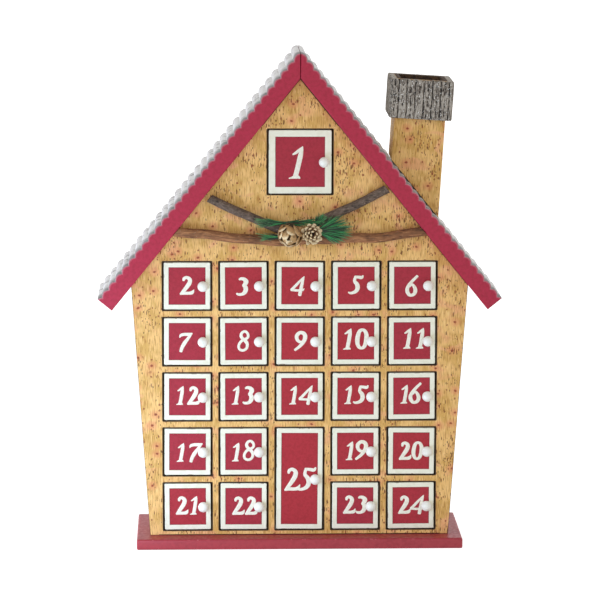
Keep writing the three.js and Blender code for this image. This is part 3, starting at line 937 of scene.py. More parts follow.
    def finished(self, colour: Socket, roughness: object, **sockets: object) -> Material:
        """Sets the shader's sockets and gives the material."""
        given = {"Base Color": colour, "Roughness": roughness}
        given.update({key.replace("_", " "): value for key, value in sockets.items()})
        names = {name.lower(): name for name in self.shader.inputs.keys()}
        for key, value in given.items():
            self.feed(self.shader.inputs[names[key.lower()]], value)
        return self.material


@dataclass(frozen=True)
class CorkPrint:
    """Cork-patterned paper on upright faces: a gold ground, pink blots and upright flecks."""

    name: str = "cork_print"
    light: Colour = (238, 192, 120)
    deep: Colour = (214, 168, 92)
    rosy: Colour = (234, 174, 120)
    line: Colour = (176, 118, 58)
    blot: Colour = (224, 138, 100)
    spot: Colour = (140, 50, 34)
    fleck: Colour = (98, 52, 24)
    ember: Colour = (128, 42, 28)
    bright: Colour = (248, 210, 144)
    # Dark brown of the painted shade round the door openings.
    rim: Colour = (44, 28, 18)
    worn_edge: bool = False
    grid_top: float = 263
    cut_reach: tuple[float, float] = (127, 34)

    def build(self) -> Material:
        """Makes the material; round the doors' openings a dark brown rim is painted as shade of the door
        gaps.
        """
        g = Graph(self.name)
        ground = g.mixed(g.band(g.grain((17, 21), 3), 0.38, 0.62), self.deep, self.light)
        ground = g.mixed(g.band(g.grain((22, 16), 2, 0.5, (3, 5, 0)), 0.56, 0.76), ground, self.rosy)
        streak = g.grain((0.8, 8), 4, 0.3)
        colour = g.mixed(g.band(streak, 0.5, 0.7, 0, 0.75), ground, self.line)
        colour = g.mixed(g.band(streak, 0.28, 0.45, 0.65, 0), colour, self.bright)

        far, chance = g.cells((18, 15), (4, 2, 0), 0.14)
        chosen = g.band(chance, 0.42, 0.55)
        blots = g.figure("MULTIPLY", g.band(far, 0.08, 0.4, 1, 0), chosen)
        colour = g.stained(blots, 0.5, colour, self.blot)
        spots = g.figure("MULTIPLY", g.band(far, 0.03, 0.1, 1, 0), chosen)
        colour = g.stained(spots, 0.9, colour, self.spot)
        crumbs = g.dots((7, 8), 0.05, 0.13, 0.6, 0.25, (1, 7, 0))
        colour = g.stained(crumbs, 0.8, colour, self.spot)

        crowd = g.band(g.grain((30, 24), 2, 0, (2, 9, 0)), 0.44, 0.66, 0.975, 0.55)
        ink = g.mixed(g.band(g.grain((6, 6), 1), 0.5, 0.6), self.fleck, self.ember)
        for cell, high, shift in (((2.2, 8.0), 0.26, (5, 1, 0)), ((1.6, 3.6), 0.3, (1, 6, 0)),
                                  ((3.2, 11.0), 0.2, (8, 3, 0))):
            flecks = g.dots(cell, 0.12, high, crowd, 0.35, shift)
            colour = g.stained(flecks, 0.85, colour, ink)
        # Round the door openings only, a dark brown rim of painted shade from the gaps beside the doors.
        if self.worn_edge:
            edge = g.figure("ADD", g.mark(Mark.EDGE), g.figure("MULTIPLY", streak, 0.5))
            reach = g.band(g.across(2), self.grid_top, self.grid_top + 2, *self.cut_reach)
            cut = g.figure("LESS_THAN", g.figure("ABSOLUTE", g.across(0)), reach)
            gap_shade = g.figure("MULTIPLY", g.band(edge, 0.8, 1.2, 1, 0), cut)
            colour = g.mixed(gap_shade, colour, self.rim)
        normal = g.relief(g.grain((0.7, 2), 3), 0.02)
        rough = g.band(streak, 0.3, 0.7, 0.5, 0.62)
        return g.finished(colour, rough, normal=normal, specular_ior_level=0.3)


@dataclass(frozen=True)
class FibreBoard:
    """Bare fibreboard: a warm brown ground with fine fibres and a few dark specks."""

    name: str = "bare_board"
    light: Colour = (196, 158, 112)
    deep: Colour = (164, 124, 82)
    speck: Colour = (104, 72, 44)

    def build(self) -> Material:
        """Makes the material."""
        g = Graph(self.name)
        fibre = g.grain(0.5, 4, 0.8)
        colour = g.mixed(g.band(g.grain(26, 4, 0.7), 0.2, 0.8, 0.3, 0.9), self.deep, self.light)
        colour = g.mixed(g.band(fibre, 0.42, 0.7, 0, 0.45), colour, self.deep)
        colour = g.stained(g.dots(2.6, 0.04, 0.2, 0.5), 0.5, colour, self.speck)
        return g.finished(colour, 0.85, normal=g.relief(fibre, 0.06))


@dataclass(frozen=True)
class CutEdge:
    """The cut edge of a board, browned by the saw, with short lines along its layers."""

    name: str = "cut_edge"
    light: Colour = (92, 66, 42)
    deep: Colour = (46, 32, 22)

    def build(self) -> Material:
        """Makes the material."""
        g = Graph(self.name)
        layers = g.grain((2.5, 0.35, 2.5), 3, 0.3)
        colour = g.mixed(g.band(layers, 0.35, 0.68), self.deep, self.light)
        return g.finished(colour, 0.9, normal=g.relief(layers, 0.08))


@dataclass(frozen=True)
class Paint:
    """Brushed satin paint with faint mottling, and another colour along its edges: paint worn thin on
    the door borders, a painted highlight on the base board.

    Attributes:
        name: Name of the material.
        colour: The paint's colour.
        mottle: The colour of its darker or lighter clouds.
        thin: The colour along its edges: the board through worn paint on the door borders, a pale
            painted highlight on the base board.
        rough: Roughness.
        wear: Width in millimetres of that colour along the edges, or 0.
        grain: Size of the clouds in millimetres.
        gloss: Level of its reflection.
    """

    name: str
    colour: Colour
    mottle: Colour
    thin: Colour = (150, 110, 80)
    rough: float = 0.45
    wear: float = 0
    grain: float = 3
    gloss: float = 0.3

    def build(self) -> Material:
        """Makes the material."""
        g = Graph(self.name)
        cloud = g.grain(self.grain, 4, 0.4)
        wide = g.grain(9 * self.grain, 2)
        share = g.figure("MULTIPLY", g.band(cloud, 0.35, 0.72), g.band(wide, 0.2, 0.7, 0.35, 1))
        colour = g.mixed(share, self.colour, self.mottle)
        fine = g.grain(0.5, 3)
        colour = g.mixed(g.band(fine, 0.5, 0.8, 0, 0.25), colour, self.mottle)
        # Along the edges: paint worn down to the board on the door borders, and a pale pink painted
        # highlight on the base board.
        if self.wear:
            edge = g.figure("ADD", g.mark(Mark.EDGE), g.band(cloud, 0.3, 0.7, -0.5, 1.2))
            colour = g.mixed(g.band(edge, 0, self.wear, 0.75, 0), colour, self.thin)
        normal = g.relief(g.grain(1.6, 3), 0.05)
        normal = g.relief(fine, 0.015, normal)
        rough = g.band(cloud, 0.3, 0.7, self.rough - 0.06, self.rough + 0.08)
        return g.finished(colour, rough, normal=normal, specular_ior_level=self.gloss)


@dataclass(frozen=True)
class DoorField:
    """The red inlay of a door, with a thin grey line of painted shade where it meets the border."""

    name: str = "door_field"
    colour: Colour = (170, 47, 58)
    mottle: Colour = (150, 42, 50)
    fresh: Colour = (184, 68, 76)
    plum: Colour = (166, 42, 66)
    scarlet: Colour = (184, 44, 52)
    # Grey of the painted shade line round the field, where the sunk field meets the border.
    line: Colour = (118, 66, 72)
    line_width: float = 0.5

    def build(self) -> Material:
        """Makes the material."""
        g = Graph(self.name)
        cloud = g.grain(2.2, 4, 0.5)
        fine = g.grain(0.6, 2)
        colour = g.mixed(g.band(cloud, 0.38, 0.68), self.colour, self.mottle)
        colour = g.mixed(g.band(fine, 0.5, 0.75, 0, 0.3), colour, self.fresh)
        colour = g.mixed(g.band(g.mark(Mark.TONE), 0, 1, 0.3, 0), colour, self.plum)
        colour = g.mixed(g.band(g.mark(Mark.TONE), 0, 1, 0, 0.3), colour, self.scarlet)
        # A thin grey line of painted shade along the edge of the sunk field.
        inlay = g.figure("ADD", g.mark(Mark.RISE), g.band(fine, 0.3, 0.7, -0.12, 0.12))
        colour = g.mixed(g.band(inlay, 0.25, self.line_width + 0.25, 0.7, 0), colour, self.line)
        return g.finished(colour, 0.5, normal=g.relief(cloud, 0.03), specular_ior_level=0.25)


@dataclass(frozen=True)
class RoofPaint:
    """Red on a roof board's faces, and snow-white paint that caps each reed, greyed in patches, with
    painted shade near the front edge and a grey line along the back.

    The mesh gives the height over the reeds' grooves and the distance down the slope in reeds. A
    reed's top stands h (1 - (2 q - 1)^2) over its grooves, at the share q of its width.
    """

    name: str = "roof_paint"
    red: Colour = (178, 46, 70)
    mottle: Colour = (164, 42, 62)
    rim: Colour = (206, 150, 158)
    snow: Colour = (244, 243, 241)
    shade: Colour = (114, 108, 107)
    reed_height: float = 2.2
    front: float = -42
    back: float = 46

    def build(self) -> Material:
        """Makes the material."""
        g = Graph(self.name)
        cloud = g.grain(3, 4, 0.4)
        red = g.mixed(g.band(cloud, 0.38, 0.7), self.red, self.mottle)
        frost = g.grain(1.2, 4, 0.5)
        share = g.figure("MULTIPLY", g.figure("FRACT", g.mark(Mark.ALONG)), 2.0)
        off_middle = g.figure("SUBTRACT", share, 1.0)
        top = g.figure("SUBTRACT", 1.0, g.figure("MULTIPLY", off_middle, off_middle))
        top = g.figure("MULTIPLY", top, self.reed_height)
        below = g.figure("SUBTRACT", top, g.mark(Mark.RISE))
        below = g.figure("ADD", below, g.band(frost, 0.3, 0.7, -0.3, 0.3))
        red = g.mixed(g.band(below, 0.4, 2.2, 0.5, 0), red, self.rim)
        snowy = g.band(below, 0.1, 0.6, 1, 0)

        # The snow is greyed in noisy patches, with painted shade near the front edge and a grey line
        # along the back.
        patch_noise = g.grain((9, 16, 9), 3, 0.8)
        greyed = g.figure("MULTIPLY", g.band(patch_noise, 0.52, 0.68), g.band(frost, 0.3, 0.6))
        y = g.figure("ADD", g.across(1), g.band(patch_noise, 0.3, 0.7, -6, 6))
        near_front = g.band(y, self.front + 2, self.front + 30, 1, 0.1)
        greyed = g.figure("MAXIMUM", greyed, near_front)
        greyed = g.figure("MAXIMUM", greyed, g.band(g.across(1), self.back - 4, self.back - 2))
        snow = g.stained(greyed, 0.8, self.snow, self.shade)
        colour = g.mixed(snowy, red, snow)
        normal = g.relief(frost, 0.1)
        rough = g.band(snowy, 0.2, 0.8, 0.45, 0.75)
        return g.finished(colour, rough, normal=normal, specular_ior_level=0.25)


@dataclass(frozen=True)
class Bark:
    """Weathered bark: dark in its grooves, pale grey-brown on its ridges, with pale grains.

    Attributes:
        name: Name of the material.
        ridge: Colour of the high places.
        middle: Colour between.
        groove: Colour of the low places.
        grains: Colour of the scattered grains.
        size: Size of the streaks in millimetres.
        amount: Share of the surface that has grains.
        contrast: How far the streaks shift the colour towards groove or ridge.
    """

    name: str
    ridge: Colour
    middle: Colour
    groove: Colour
    grains: Colour
    size: Triple
    amount: float = 0.2
    contrast: float = 0.35

    def build(self) -> Material:
        """Makes the material."""
        g = Graph(self.name)
        streak = g.grain(self.size, 4, 0.6)
        shift = g.band(streak, 0.2, 0.8, -self.contrast, self.contrast)
        height = g.figure("ADD", g.mark(Mark.TONE), shift)
        colour = g.mixed(g.band(height, 0.1, 0.5), self.groove, self.middle)
        colour = g.mixed(g.band(height, 0.5, 1), colour, self.ridge)
        colour = g.stained(g.dots(1.1, 0.1, 0.42, 1 - self.amount), 0.8, colour, self.grains)
        return g.finished(colour, 0.85, normal=g.relief(streak, 0.2))


@dataclass(frozen=True)
class NeedleGreen:
    """Waxy green needles, each a little different, darker towards the root as painted shade, and paler
    at the tip.
    """

    name: str = "needle_green"
    deep: Colour = (8, 40, 22)
    fresh: Colour = (56, 158, 84)
    root: Colour = (8, 34, 18)
    tip: Colour = (120, 166, 110)

    def build(self) -> Material:
        """Makes the material."""
        g = Graph(self.name)
        colour = g.mixed(g.band(g.mark(Mark.TONE), 0.4, 0.95), self.deep, self.fresh)
        # Painted shade: each needle darkens towards its root.
        colour = g.mixed(g.band(g.mark(Mark.ALONG), 0, 0.45, 0.85, 0), colour, self.root)
        colour = g.mixed(g.band(g.mark(Mark.ALONG), 0.75, 1, 0, 0.6), colour, self.tip)
        streak = g.grain(0.8, 2)
        colour = g.mixed(g.band(streak, 0.5, 0.8, 0, 0.4), colour, self.deep)
        return g.finished(colour, 0.42, normal=g.relief(streak, 0.03))


@dataclass(frozen=True)
class ConeScale:
    """Woody scales: dark at the root, partly their own colour and partly painted shade between scales,
    brown along the middle, with a pale bleached tip.
    """

    name: str
    middle: Colour
    tip_from: float
    root: Colour = (40, 25, 14)
    tip: Colour = (230, 208, 166)

    def build(self) -> Material:
        """Makes the material."""
        g = Graph(self.name)
        fibre = g.grain(0.5, 3, 0.4)
        blotch = g.grain(2.4, 2)
        along = g.figure("ADD", g.mark(Mark.ALONG), g.band(fibre, 0.2, 0.8, -0.1, 0.1))
        along = g.figure("ADD", along, g.band(g.mark(Mark.TONE), 0, 1, -0.12, 0.12))
        # Dark towards the root: partly the scale's own colour, partly painted shade in the gaps between
        # scales.
        colour = g.mixed(g.band(along, 0.12, 0.5), self.root, self.middle)
        colour = g.mixed(g.band(blotch, 0.52, 0.66, 0, 0.55), colour, self.root)
        colour = g.mixed(g.band(along, self.tip_from, self.tip_from + 0.16), colour, self.tip)
        return g.finished(colour, 0.8, normal=g.relief(fibre, 0.12))


@dataclass(frozen=True)
class PinSteel:
    """Drawn steel wire, dulled by handling."""

    name: str = "pin_steel"
    colour: Colour = (150, 148, 144)
    dull: Colour = (104, 98, 90)

    def build(self) -> Material:
        """Makes the material."""
        g = Graph(self.name)
        draw = g.grain((0.3, 0.3, 4), 3)
        colour = g.mixed(g.band(draw, 0.35, 0.7), self.colour, self.dull)
        return g.finished(colour, g.band(draw, 0.3, 0.7, 0.3, 0.45), metallic=1.0)


class Finishes:
    """Every material of the calendar, made once."""

    def __init__(self) -> None:
        """Makes the materials."""
        self.front_print = CorkPrint("cork_print_front", worn_edge=True).build()
        self.print = CorkPrint().build()
        self.board = FibreBoard().build()
        self.cut_edge = CutEdge().build()
        # The base's pale pink along its rounded edges is a painted highlight.
        self.base_red = Paint("base_red", (166, 49, 60), (149, 42, 52), (206, 140, 142), 0.38,
                              wear=0.5, gloss=0.45).build()
        self.border = Paint("door_border", (243, 241, 221), (233, 231, 206), (150, 130, 100), 0.4,
                            wear=0.12, grain=5).build()
        self.door_back = Paint("door_back", (206, 182, 150), (186, 158, 122), rough=0.7).build()
        self.field = DoorField().build()
        self.numeral = Paint("numeral_white", (246, 243, 227), (232, 226, 204), rough=0.4,
                             grain=2).build()
        self.knob = Paint("knob_white", (247, 246, 238), (236, 236, 224), rough=0.32, grain=4).build()
        self.roof = RoofPaint().build()
        self.cap_bark = Bark("cap_bark", (176, 168, 156), (110, 100, 90), (30, 26, 23),
                             (244, 244, 240), (0.8, 0.8, 3.4), 0.26, 0.8).build()
        self.lower_bark = Bark("lower_bark", (176, 122, 80), (128, 84, 52), (66, 38, 22),
                               (150, 128, 106), (7.0, 1.0, 1.0), 0.08).build()
        self.upper_bark = Bark("upper_bark", (128, 108, 94), (92, 76, 64), (48, 38, 32),
                               (144, 128, 114), (5.0, 0.9, 0.9), 0.1).build()
        self.needles = NeedleGreen().build()
        self.stem = Bark("stem_bark", (96, 84, 52), (72, 60, 40), (40, 34, 24), (120, 110, 80),
                         (2.0, 2.0, 2.0), 0.1).build()
        self.broad_cone = ConeScale("broad_scale", (190, 152, 102), 0.84).build()
        self.close_cone = ConeScale("close_scale", (134, 98, 62), 0.6).build()
        self.steel = PinSteel().build()


# The house


@dataclass
class Shell:
    """The front panel, the base and the boards behind and beside the doors."""

    sizes: HouseSizes
    places: list[DoorPlace]
    finishes: Finishes
    base_rounding: float = 1.6
    base_corner: float = 1.2
    panel_rounding: float = 0.35
    opening_corner: float = 0.5
    inner_boards: tuple[str, ...] = (
        "floor_board", "shelf_1", "shelf_2", "shelf_3", "shelf_4_left", "shelf_4_right",
        "top_shelf", "divider_1", "divider_2", "divider_3", "divider_4",
        "gable_shelf", "gable_cheek_left", "gable_cheek_right",
    )

    def build(self) -> None:
        """Makes every board of the shell."""
        self.build_base()
        self.build_front()
        softened_copy("back_panel", Slot.BOARD, [self.finishes.board], 0.3)
        for side in Side:
            self.build_wall(side)
        for name in self.inner_boards:
            softened_copy(name, Slot.BOARD, [self.finishes.board], 0.25)

    def build_base(self) -> None:
        """The base board: a rectangle with round corners, seen from above, and soft edges."""
        s = self.sizes
        half = (s.foot_half + s.base_side_lip, s.base_depth / 2)
        outline = rounded_box((-half[0], -half[1]), half, self.base_corner)
        draft = Draft()
        rows = edge_rows(s.base, self.base_rounding, (4.0, 2.6), (0, 0, 0), steps=5)
        add_plate(draft, [outline], Placing((0, 0, s.base), (1, 0, 0), (0, 1, 0)), rows)
        draft.piece("base_board", HOUSE, Slot.RED, [self.finishes.base_red], ["base_plate"])

    def build_front(self) -> None:
        """The printed front panel, with an opening for each door."""
        s = self.sizes
        shoulder = s.shoulder(s.seat_gap)
        outline = polygon([
            (-s.foot_half, s.base),
            (s.foot_half, s.base),
            shoulder,
            (0, s.underside(0, s.seat_gap)),
            (-shoulder[0], shoulder[1]),
        ])
        openings = [
            rounded_box(
                (place.x - place.width / 2, place.z - place.height / 2),
                (place.x + place.width / 2, place.z + place.height / 2),
                self.opening_corner,
                hole=True,
            )
            for place in self.places
        ]
        draft = Draft()
        rows = edge_rows(s.panel, self.panel_rounding, (1.9, 1.1))
        add_plate(draft, [outline, *openings], Placing((0, s.front, 0)), rows)
        finishes = [self.finishes.front_print, self.finishes.cut_edge, self.finishes.board]
        draft.piece("front_print_panel", HOUSE, Slot.PRINT, finishes, ["front_panel"])

    def build_wall(self, side: Side) -> None:
        """A side wall, papered outside and bare inside."""

        def papered(centres: np.ndarray, normals: np.ndarray) -> np.ndarray:
            """Bare where a face doesn't look outwards."""
            return np.where(normals[:, 0] * side.value > 0.5, 0, 1)

        name = f"{side.name.lower()}_wall"
        softened_copy(name, Slot.PRINT, [self.finishes.print, self.finishes.board], 0.4, papered)


@dataclass
class Roof:
    """Two thick boards that meet at the ridge, with rounded reeds across their tops."""

    sizes: HouseSizes
    finishes: Finishes
    reed_steps: int = 12
    rounding: float = 0.7
    corner_room: float = 1.3

    def build(self) -> None:
        """Makes both boards."""
        for side in Side:
            self.build_board(side)

    def outline(self) -> np.ndarray:
        """The right board's outline as distance down the slope and height over the underside.

        A reed is an arc on the chord of its pitch p with height h: its radius is
        r = (p^2 / 4 + h^2) / 2h, and it rises sqrt(r^2 - x^2) - (r - h) at x from its middle.
        """
        s = self.sizes
        start, end = self.ridge_at(s.roof_thickness), s.roof_length
        distance = np.arange(start, end, s.reed_pitch / self.reed_steps)
        clear = (distance - start > self.corner_room) & (end - distance > self.corner_room)
        distance = np.concatenate([[start], distance[clear], [end]])
        radius = (s.reed_pitch**2 / 4 + s.reed_height**2) / (2 * s.reed_height)
        off_middle = (distance - start) % s.reed_pitch - s.reed_pitch / 2
        arc = np.sqrt(radius**2 - off_middle**2) - (radius - s.reed_height)
        top = np.stack([distance, s.roof_thickness + arc], axis=1)
        return np.vstack([[self.ridge_at(0), 0], top, [end, 0]])[::-1]

    def ridge_at(self, rise: float) -> float:
        """Distance down the slope of the board's upper end, at a height over the underside."""
        s = self.sizes
        return (s.ridge_joint / 2 - rise * math.sin(s.slope)) / math.cos(s.slope)

    def build_board(self, side: Side) -> None:
        """One roof board."""
        s = self.sizes
        flat = self.outline()
        start = self.ridge_at(s.roof_thickness)
        cos, sin = math.cos(s.slope), math.sin(s.slope)
        x = flat[:, 0] * cos + flat[:, 1] * sin
        z = s.apex - flat[:, 0] * sin + flat[:, 1] * cos
        corners = np.stack([x * side.value, z], axis=1)
        if side is Side.LEFT:
            corners = corners[::-1]

        def measured(points: np.ndarray) -> dict[Mark, np.ndarray]:
            """Height over the reeds' grooves, and distance down the slope in reeds."""
            across, height = points[..., 0] * side.value, points[..., 1] - s.apex
            return {
                Mark.RISE: across * sin + height * cos - s.roof_thickness,
                Mark.ALONG: (across * cos - height * sin - start) / s.reed_pitch,
            }

        draft = Draft()
        depth = s.roof_front + s.depth + s.roof_back
        rows = edge_rows(depth, self.rounding, (), (0, 0, 0), steps=3)
        placing = Placing((0, s.front - s.roof_front, 0))
        add_plate(draft, [polygon(corners)], placing, rows, measured)
        name = side.name.lower()
        replaced = [f"roof_board_{name}"]
        draft.piece(f"roof_{name}", HOUSE, Slot.RED, [self.finishes.roof], replaced, 60)


@dataclass
class Chimney:
    """Four boards that lean outwards on the right slope, and a band of bark round their top."""

    sizes: HouseSizes
    finishes: Finishes
    from_eave: float = 123.4
    lean: float = math.radians(3.5)
    height: float = 98.3
    shaft: tuple[float, float] = (45.4, 47)
    cap_height: float = 35
    cap_wall: float = 5.5
    groove_pitch: float = 3.76
    groove_depth: float = 0.95
    columns_per_mm: float = 3.2
    cap_rows: int = 60

    def build(self) -> None:
        """Makes the shaft and its cap."""
        for name in ("chimney_front", "chimney_back", "chimney_left", "chimney_right"):
            self.build_board(name)
        self.build_cap()

    def origin(self) -> np.ndarray:
        """Where the shaft's axis meets the tops of the reeds."""
        s = self.sizes
        rise = s.roof_thickness + s.reed_height + s.seat_gap
        distance = s.roof_length - self.from_eave
        cos, sin = math.cos(s.slope), math.sin(s.slope)
        middle = s.front - s.roof_front + (s.roof_front + s.depth + s.roof_back) / 2
        return np.array([distance * cos + rise * sin, middle, s.apex - distance * sin + rise * cos])

    def placed(self, local: np.ndarray) -> np.ndarray:
        """Turns points of the leaning chimney's own frame into the house's."""
        cos, sin = math.cos(self.lean), math.sin(self.lean)
        x, y, z = local[..., 0], local[..., 1], local[..., 2]
        return self.origin() + np.stack([x * cos + z * sin, y, z * cos - x * sin], axis=-1)

    def build_board(self, name: str) -> None:
        """One board of the shaft, papered outside, and inside in the dark cut-edge brown as painted
        shade of the shaft.
        """
        centre = self.origin()

        def papered(centres: np.ndarray, normals: np.ndarray) -> np.ndarray:
            """Unpapered and dark where a face looks at the shaft's axis."""
            outward = centres - centre
            outward[:, 0] -= (centres[:, 2] - centre[2]) * math.tan(self.lean)
            outward[:, 2] = 0
            return np.where(np.sum(unit(outward) * normals, axis=1) > 0.3, 0, 1)

        softened_copy(name, Slot.PRINT, [self.finishes.print, self.finishes.cut_edge], 0.4, papered)

    def build_cap(self) -> None:
        """The bark band: a rectangle's cross-section carried round the shaft.

        Its outer face is drawn in by the grooves: at each multiple of the pitch the depth is
        (1 - |distance| / half width)^0.5, full on even grooves and broken into pits on odd ones,
        with smooth noise on top.
        """
        gap = self.sizes.seat_gap
        half = np.array(self.shaft) / 2 + gap
        outer = half + self.cap_wall
        place, along, outward = self.round_shaft(outer)
        off_corner = (1 - np.abs(place).min(axis=1)) * outer[0]
        soft_corner = 1 - 0.03 * np.exp(-((off_corner / 1.2) ** 2))

        rise = np.linspace(0, 1, self.cap_rows)
        outer_z = self.height - self.cap_height * (1 - rise)
        groove = self.groove(along[None, :], outer_z[:, None])
        sway = value_noise(self.lattice(along, outer_z, 6, 9), 5) * 0.25
        depth = self.groove_depth * groove + 0.25 + sway * 0.6
        edge = np.minimum(rise, 1 - rise)[:, None] * self.cap_height
        depth = depth + 0.7 * np.exp(-((edge / 0.7) ** 2))
        skin = (place * outer * soft_corner[:, None])[None] - outward[None] * depth[..., None]
        outer_face = np.dstack([skin, np.broadcast_to(outer_z[:, None], skin.shape[:2])])

        top = self.height + value_noise(self.lattice(along, np.array([0.0]), 2, 2), 8)[0] * 0.25 - 0.25
        bottom = self.height - self.cap_height
        rim = [np.column_stack([place * (outer * (1 - t) + half * t), top]) for t in (0.3, 0.7, 1)]
        levels = ((half, self.height - 1), (half, bottom + 1), (half, bottom),
                  (half * 0.5 + outer * 0.5, bottom))
        inside = [np.column_stack([place * at, np.full(len(place), z)]) for at, z in levels]
        rows = [*outer_face, *rim, *inside]
        local = np.stack(rows)
        tone = np.zeros(local.shape[:2])
        tone[: len(rise)] = 0.78 - 0.7 * groove + sway
        tone[len(rise) : -len(inside)] = 1.1
        # The band's inner faces are toned dark as painted shade inside the shaft.
        tone[-len(inside) :] = 0.25

        draft = Draft()
        start = draft.add_points(self.placed(local), {Mark.TONE: tone})
        draft.add_faces(grid_faces(len(rows), len(place), looped=True) + start)
        draft.piece("chimney_bark_band", HOUSE, Slot.BARK, [self.finishes.cap_bark], ["chimney_cap"], 70)

    def round_shaft(self, outer: np.ndarray) -> tuple[np.ndarray, np.ndarray, np.ndarray]:
        """Points round the band, from its front left corner.

        Args:
            outer: Half its width and depth.

        Returns:
            Their places from -1 to 1 along X and Y, how far round they lie, and the outward
            directions of their sides.
        """
        corners = np.array([[-1, -1], [1, -1], [1, 1], [-1, 1]])
        place, along, outward = [], [], []
        run = 0.0
        for index, corner in enumerate(corners):
            length = 2 * outer[index % 2]
            count = int(round(length * self.columns_per_mm))
            side = corners[(index + 1) % 4] - corner
            share = np.arange(count)[:, None] / count
            place.append(corner + side * share)
            along.append(run + share[:, 0] * length)
            outward.append(np.tile([side[1] / 2, -side[0] / 2], (count, 1)))
            run += length
        return np.concatenate(place), np.concatenate(along), np.concatenate(outward)

    def lattice(self, along: np.ndarray, z: np.ndarray, wide: float, tall: float) -> np.ndarray:
        """Noise coordinates over the band, with cells of that width and height."""
        u, v = np.meshgrid(along / wide, z / tall)
        return np.stack([u, v, np.zeros_like(u)], axis=-1)

    def groove(self, along: np.ndarray, z: np.ndarray) -> np.ndarray:
        """Depth of the grooves from 0 to 1 over the band."""
        wander = value_noise(self.lattice(along[0], z[:, 0], 9, 12), 3) * 0.12
        position = along / self.groove_pitch + wander
        nearest = np.round(position)
        distance = np.abs(position - nearest)
        even = nearest % 2 == 0
        width = np.where(even, 0.2, 0.25)
        cut = np.clip(1 - distance / width, 0, 1) ** 0.5
        pits = np.clip(value_noise(self.lattice(along[0], z[:, 0], 1.9, 1.5), 11) * 2.4 + 0.3, 0, 1)
        return np.where(even, cut, 0.95 * cut * pits)


# The doors

Stroke = tuple[Triple, ...]

# Strokes of each numeral: points of X, height and half width in hundredths of its height
STROKES: dict[str, tuple[Stroke, ...]] = {
    "1": (
        ((16, 99, 2), (14, 88, 6), (11, 70, 8.8), (7, 45, 8.8), (3, 22, 8.8), (0, 9, 8.8)),
        ((16, 98, 2), (6, 88, 5), (-3, 80, 5), (-12, 75, 3)),
        ((-19, 2, 2), (-9, 4.5, 4.5), (1, 7, 7), (8, 6, 6), (14, 2.5, 2.5)),
    ),
    "2": (
        ((-16, 75, 6), (-13, 85, 8), (0, 91, 8), (15, 82, 10), (16, 67, 11), (5, 47, 11),
         (-14, 23, 9), (-27, 8, 7)),
        ((-33, 5, 5), (-14, 9, 8), (12, 9, 8), (28, 13, 9), (37, 27, 2)),
    ),
    "3": (
        ((-16, 89, 5), (-5, 93, 8), (10, 90, 10), (20, 79, 13), (17, 67, 12), (6, 55, 8)),
        ((5, 57, 7), (16, 49, 11), (19, 34, 12), (12, 18, 11), (-2, 9, 8), (-20, 8, 7), (-30, 13, 5)),
    ),
    "4": (
        ((32, 94, 4), (24, 62, 8), (12, 2, 9)),
        ((34, 98, 2), (10, 71, 6), (-18, 41, 7), (-32, 29, 6)),
        ((-32, 28, 6), (0, 26, 6), (24, 27, 6), (35, 35, 2)),
    ),
    "5": (
        ((-5, 90, 6), (13, 88, 7.5), (29, 86, 8), (36, 95, 4)),
        ((-1, 91, 7), (-6, 76, 7.5), (-5, 65, 8.5), (6, 51, 10.5), (9, 33, 11), (1, 17, 9.5),
         (-14, 9, 7.5), (-28, 7, 6), (-37, 11, 4)),
    ),
    "6": (
        ((25, 95, 6), (-1, 69, 7), (-19, 44, 8), (-22, 25, 9), (-14, 9, 8), (-3, 5, 7), (10, 11, 8),
         (16, 29, 9), (8, 49, 7), (-2, 55, 6), (-12, 47, 6)),
    ),
    "7": (
        ((-31, 75, 2), (-25, 86, 7), (-10, 91, 8), (13, 92, 8), (34, 96, 4)),
        ((28, 92, 6), (11, 68, 8), (-6, 45, 10), (-19, 21, 9), (-25, 1, 8)),
    ),
    "8": (
        ((2, 55, 6), (20, 65, 6), (21, 81, 6), (10, 93, 6), (-4, 89, 6), (-10, 75, 7), (-4, 62, 7),
         (8, 52, 8), (18, 36, 7), (14, 16, 6), (-2, 7, 6), (-18, 14, 6), (-20, 32, 6), (-10, 48, 6),
         (2, 55, 6)),
    ),
    "9": (
        ((16, 47, 5), (-2, 45, 7), (-15, 57, 8.5), (-17, 76, 9.5), (-2, 91, 8.5), (17, 87, 9.5),
         (24, 70, 10.5), (17, 48, 9.5), (-2, 24, 7.5), (-26, 5, 6)),
    ),
    "0": (
        ((3, 93, 6.5), (13, 88, 8), (20, 73, 9.5), (21, 52, 10.5), (16, 26, 9.5), (8, 11, 8),
         (-3, 7, 6.5), (-13, 12, 8), (-20, 27, 9.5), (-21, 48, 10.5), (-16, 74, 9.5), (-8, 89, 8),
         (3, 93, 6.5)),
    ),
}

# Height of each numeral, in millimetres
NUMERAL_HEIGHT: dict[str, float] = {
    "0": 17.4, "1": 17.2, "2": 17.4, "3": 16.7, "4": 17.6,
    "5": 17.8, "6": 19.4, "7": 17.2, "8": 20.1, "9": 18.4,
}

# Factor on the width of some numerals where two stand on a door
NARROWING: dict[str, float] = {"2": 0.87, "3": 0.93}


@dataclass(frozen=True)
class Numeral:
    """How a door's number is painted on it.

    Attributes:
        offsets: Centre of each digit to the right of the door's centre.
        drop: How far the base line lies under the centre.
        scale: Factor on the digits' usual height.
        weight: Factor on the strokes' width.
        slant: How much more it leans to the right than usual.
    """

    offsets: tuple[float, ...]
    drop: float
    scale: float = 1
    weight: float = 1
    slant: float = 0


